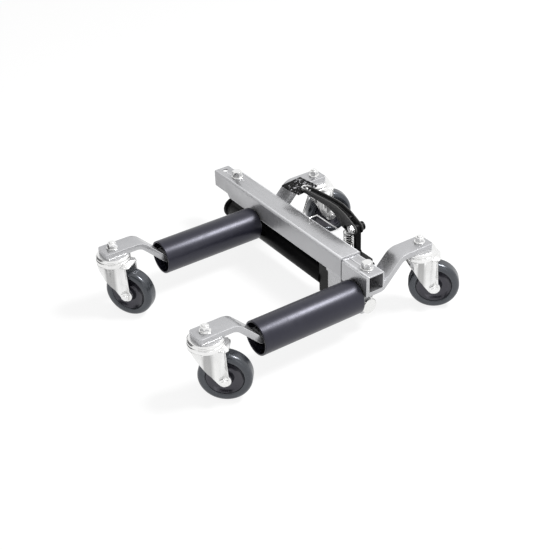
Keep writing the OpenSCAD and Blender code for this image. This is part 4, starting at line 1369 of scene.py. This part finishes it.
# Shares of painted front light on the sleeve and tube, and on the front arms
SLEEVE_FRONT_LIGHT = 0.4
ARM_FRONT_LIGHT = 1.0
BEARING_EDGE = 0.0004


class JACK_OT_stage(bpy.types.Operator):
    """Camera, world, lamps and floor"""

    bl_idname = "jack.stage"
    bl_label = "Stage"

    def execute(self, context):
        build_camera()
        context.scene.view_settings.view_transform = "Standard"
        build_world()
        build_floor()
        build_dark_cards()
        for lamp in LAMPS:
            build_lamp(*lamp)
        return {"FINISHED"}


class JACK_OT_beam(bpy.types.Operator):
    """Sleeve, sliding tube, gusset, bracket, saddles and welds"""

    bl_idname = "jack.beam"
    bl_label = "Beam"

    def execute(self, context):
        for node in ("outer_sleeve", "inner_tube"):
            piece = dress(node, sizes().tube_edge, crisp=Vector((1.0, 0.0, 0.0)))
            # Painted light on the front faces: a lighter, less metallic tone
            paint_front_light(piece.data, SLEEVE_FRONT_LIGHT)
        for node in ("front_gusset", "right_bracket", "left_saddle", "right_saddle", "rod_lug"):
            dress(node, sizes().tube_edge)
        build_welds()
        build_gusset_seam()
        return {"FINISHED"}


class JACK_OT_arms(bpy.types.Operator):
    """Bent flat arms and roller shafts"""

    bl_idname = "jack.arms"
    bl_label = "Arms"

    def execute(self, context):
        for side in SIDE_BODY:
            piece = dress(f"{side}_front_arm", sizes().soft_edge)
            # Painted light on the front faces: a lighter, less metallic tone
            paint_front_light(piece.data, ARM_FRONT_LIGHT)
            dress(f"{side}_rear_arm", sizes().soft_edge)
            dress(f"{side}_roller_shaft", sizes().tube_edge)
        return {"FINISHED"}


class JACK_OT_rollers(bpy.types.Operator):
    """Hollow rollers and their bearings"""

    bl_idname = "jack.rollers"
    bl_label = "Rollers"

    def execute(self, context):
        for side in SIDE_BODY:
            build_roller(side)
            dress(f"{side}_roller_bearings", BEARING_EDGE)
        return {"FINISHED"}


class JACK_OT_ram(bpy.types.Operator):
    """Ram barrel, cap, rod and nut"""

    bl_idname = "jack.ram"
    bl_label = "Ram"

    def execute(self, context):
        for node in ("ram_barrel", "ram_cap", "ram_rod", "rod_nut"):
            dress(node, sizes().tube_edge)
        return {"FINISHED"}


class JACK_OT_pump(bpy.types.Operator):
    """Pump block, tower, plunger and spring"""

    bl_idname = "jack.pump"
    bl_label = "Foot pump"

    def execute(self, context):
        for node in ("pump_block", "pump_tower"):
            dress(node, sizes().tube_edge)
        build_plunger()
        build_spring()
        return {"FINISHED"}


class JACK_OT_pedal(bpy.types.Operator):
    """Pedal channel, gritted pad, spring hooks and stop rod"""

    bl_idname = "jack.pedal"
    bl_label = "Pedal"

    def execute(self, context):
        build_lever()
        dress("foot_pad", sizes().tube_edge)
        build_grit()
        build_clip()
        dress("pedal_stop", sizes().tube_edge)
        return {"FINISHED"}


class JACK_OT_casters(bpy.types.Operator):
    """Pressed forks, races and wheels"""

    bl_idname = "jack.casters"
    bl_label = "Casters"

    def execute(self, context):
        for corner in CORNERS:
            build_fork(corner)
            build_race(corner)
            build_wheel(corner)
        return {"FINISHED"}


class JACK_OT_fasteners(bpy.types.Operator):
    """Nuts, bolts, washers, the pedal's pivot and the keeper wire"""

    bl_idname = "jack.fasteners"
    bl_label = "Fasteners"

    def execute(self, context):
        build_swivel_pins()
        build_beam_bolts()
        build_axle_bolts()
        build_pedal_pivot()
        dress("keeper_wire", 0.0)
        return {"FINISHED"}


class JACK_PT_panel(bpy.types.Panel):
    """Shows the jack's sizes, colours and building buttons in the sidebar"""

    bl_idname = "JACK_PT_panel"
    bl_label = "Vehicle positioning jack"
    bl_space_type = "VIEW_3D"
    bl_region_type = "UI"
    bl_category = "Jack"

    def draw(self, context):
        for group in (context.scene.jack_sizes, context.scene.jack_colours):
            for name in group.bl_rna.properties.keys():
                if name not in ("rna_type", "name"):
                    self.layout.prop(group, name)
        for operator in OPERATORS:
            self.layout.operator(operator.bl_idname)


OPERATORS = (
    JACK_OT_stage, JACK_OT_beam, JACK_OT_arms, JACK_OT_rollers, JACK_OT_ram, JACK_OT_pump,
    JACK_OT_pedal, JACK_OT_casters, JACK_OT_fasteners,
)
CLASSES = (JackSizes, JackColours, *OPERATORS, JACK_PT_panel)


def register():
    for cls in CLASSES:
        bpy.utils.register_class(cls)
    bpy.types.Scene.jack_sizes = bpy.props.PointerProperty(type=JackSizes)
    bpy.types.Scene.jack_colours = bpy.props.PointerProperty(type=JackColours)


def unregister():
    del bpy.types.Scene.jack_colours
    del bpy.types.Scene.jack_sizes
    for cls in reversed(CLASSES):
        bpy.utils.unregister_class(cls)


def main():
    register()
    TREES.update(copies=copies_tree(), bead=bead_tree(), coil=coil_tree(), grains=grains_tree())
    for operator in OPERATORS:
        group, name = operator.bl_idname.split(".")
        if "FINISHED" not in getattr(getattr(bpy.ops, group), name)():
            raise RuntimeError(f"{operator.bl_label} wasn't made")


if __name__ == "__main__":
    main()
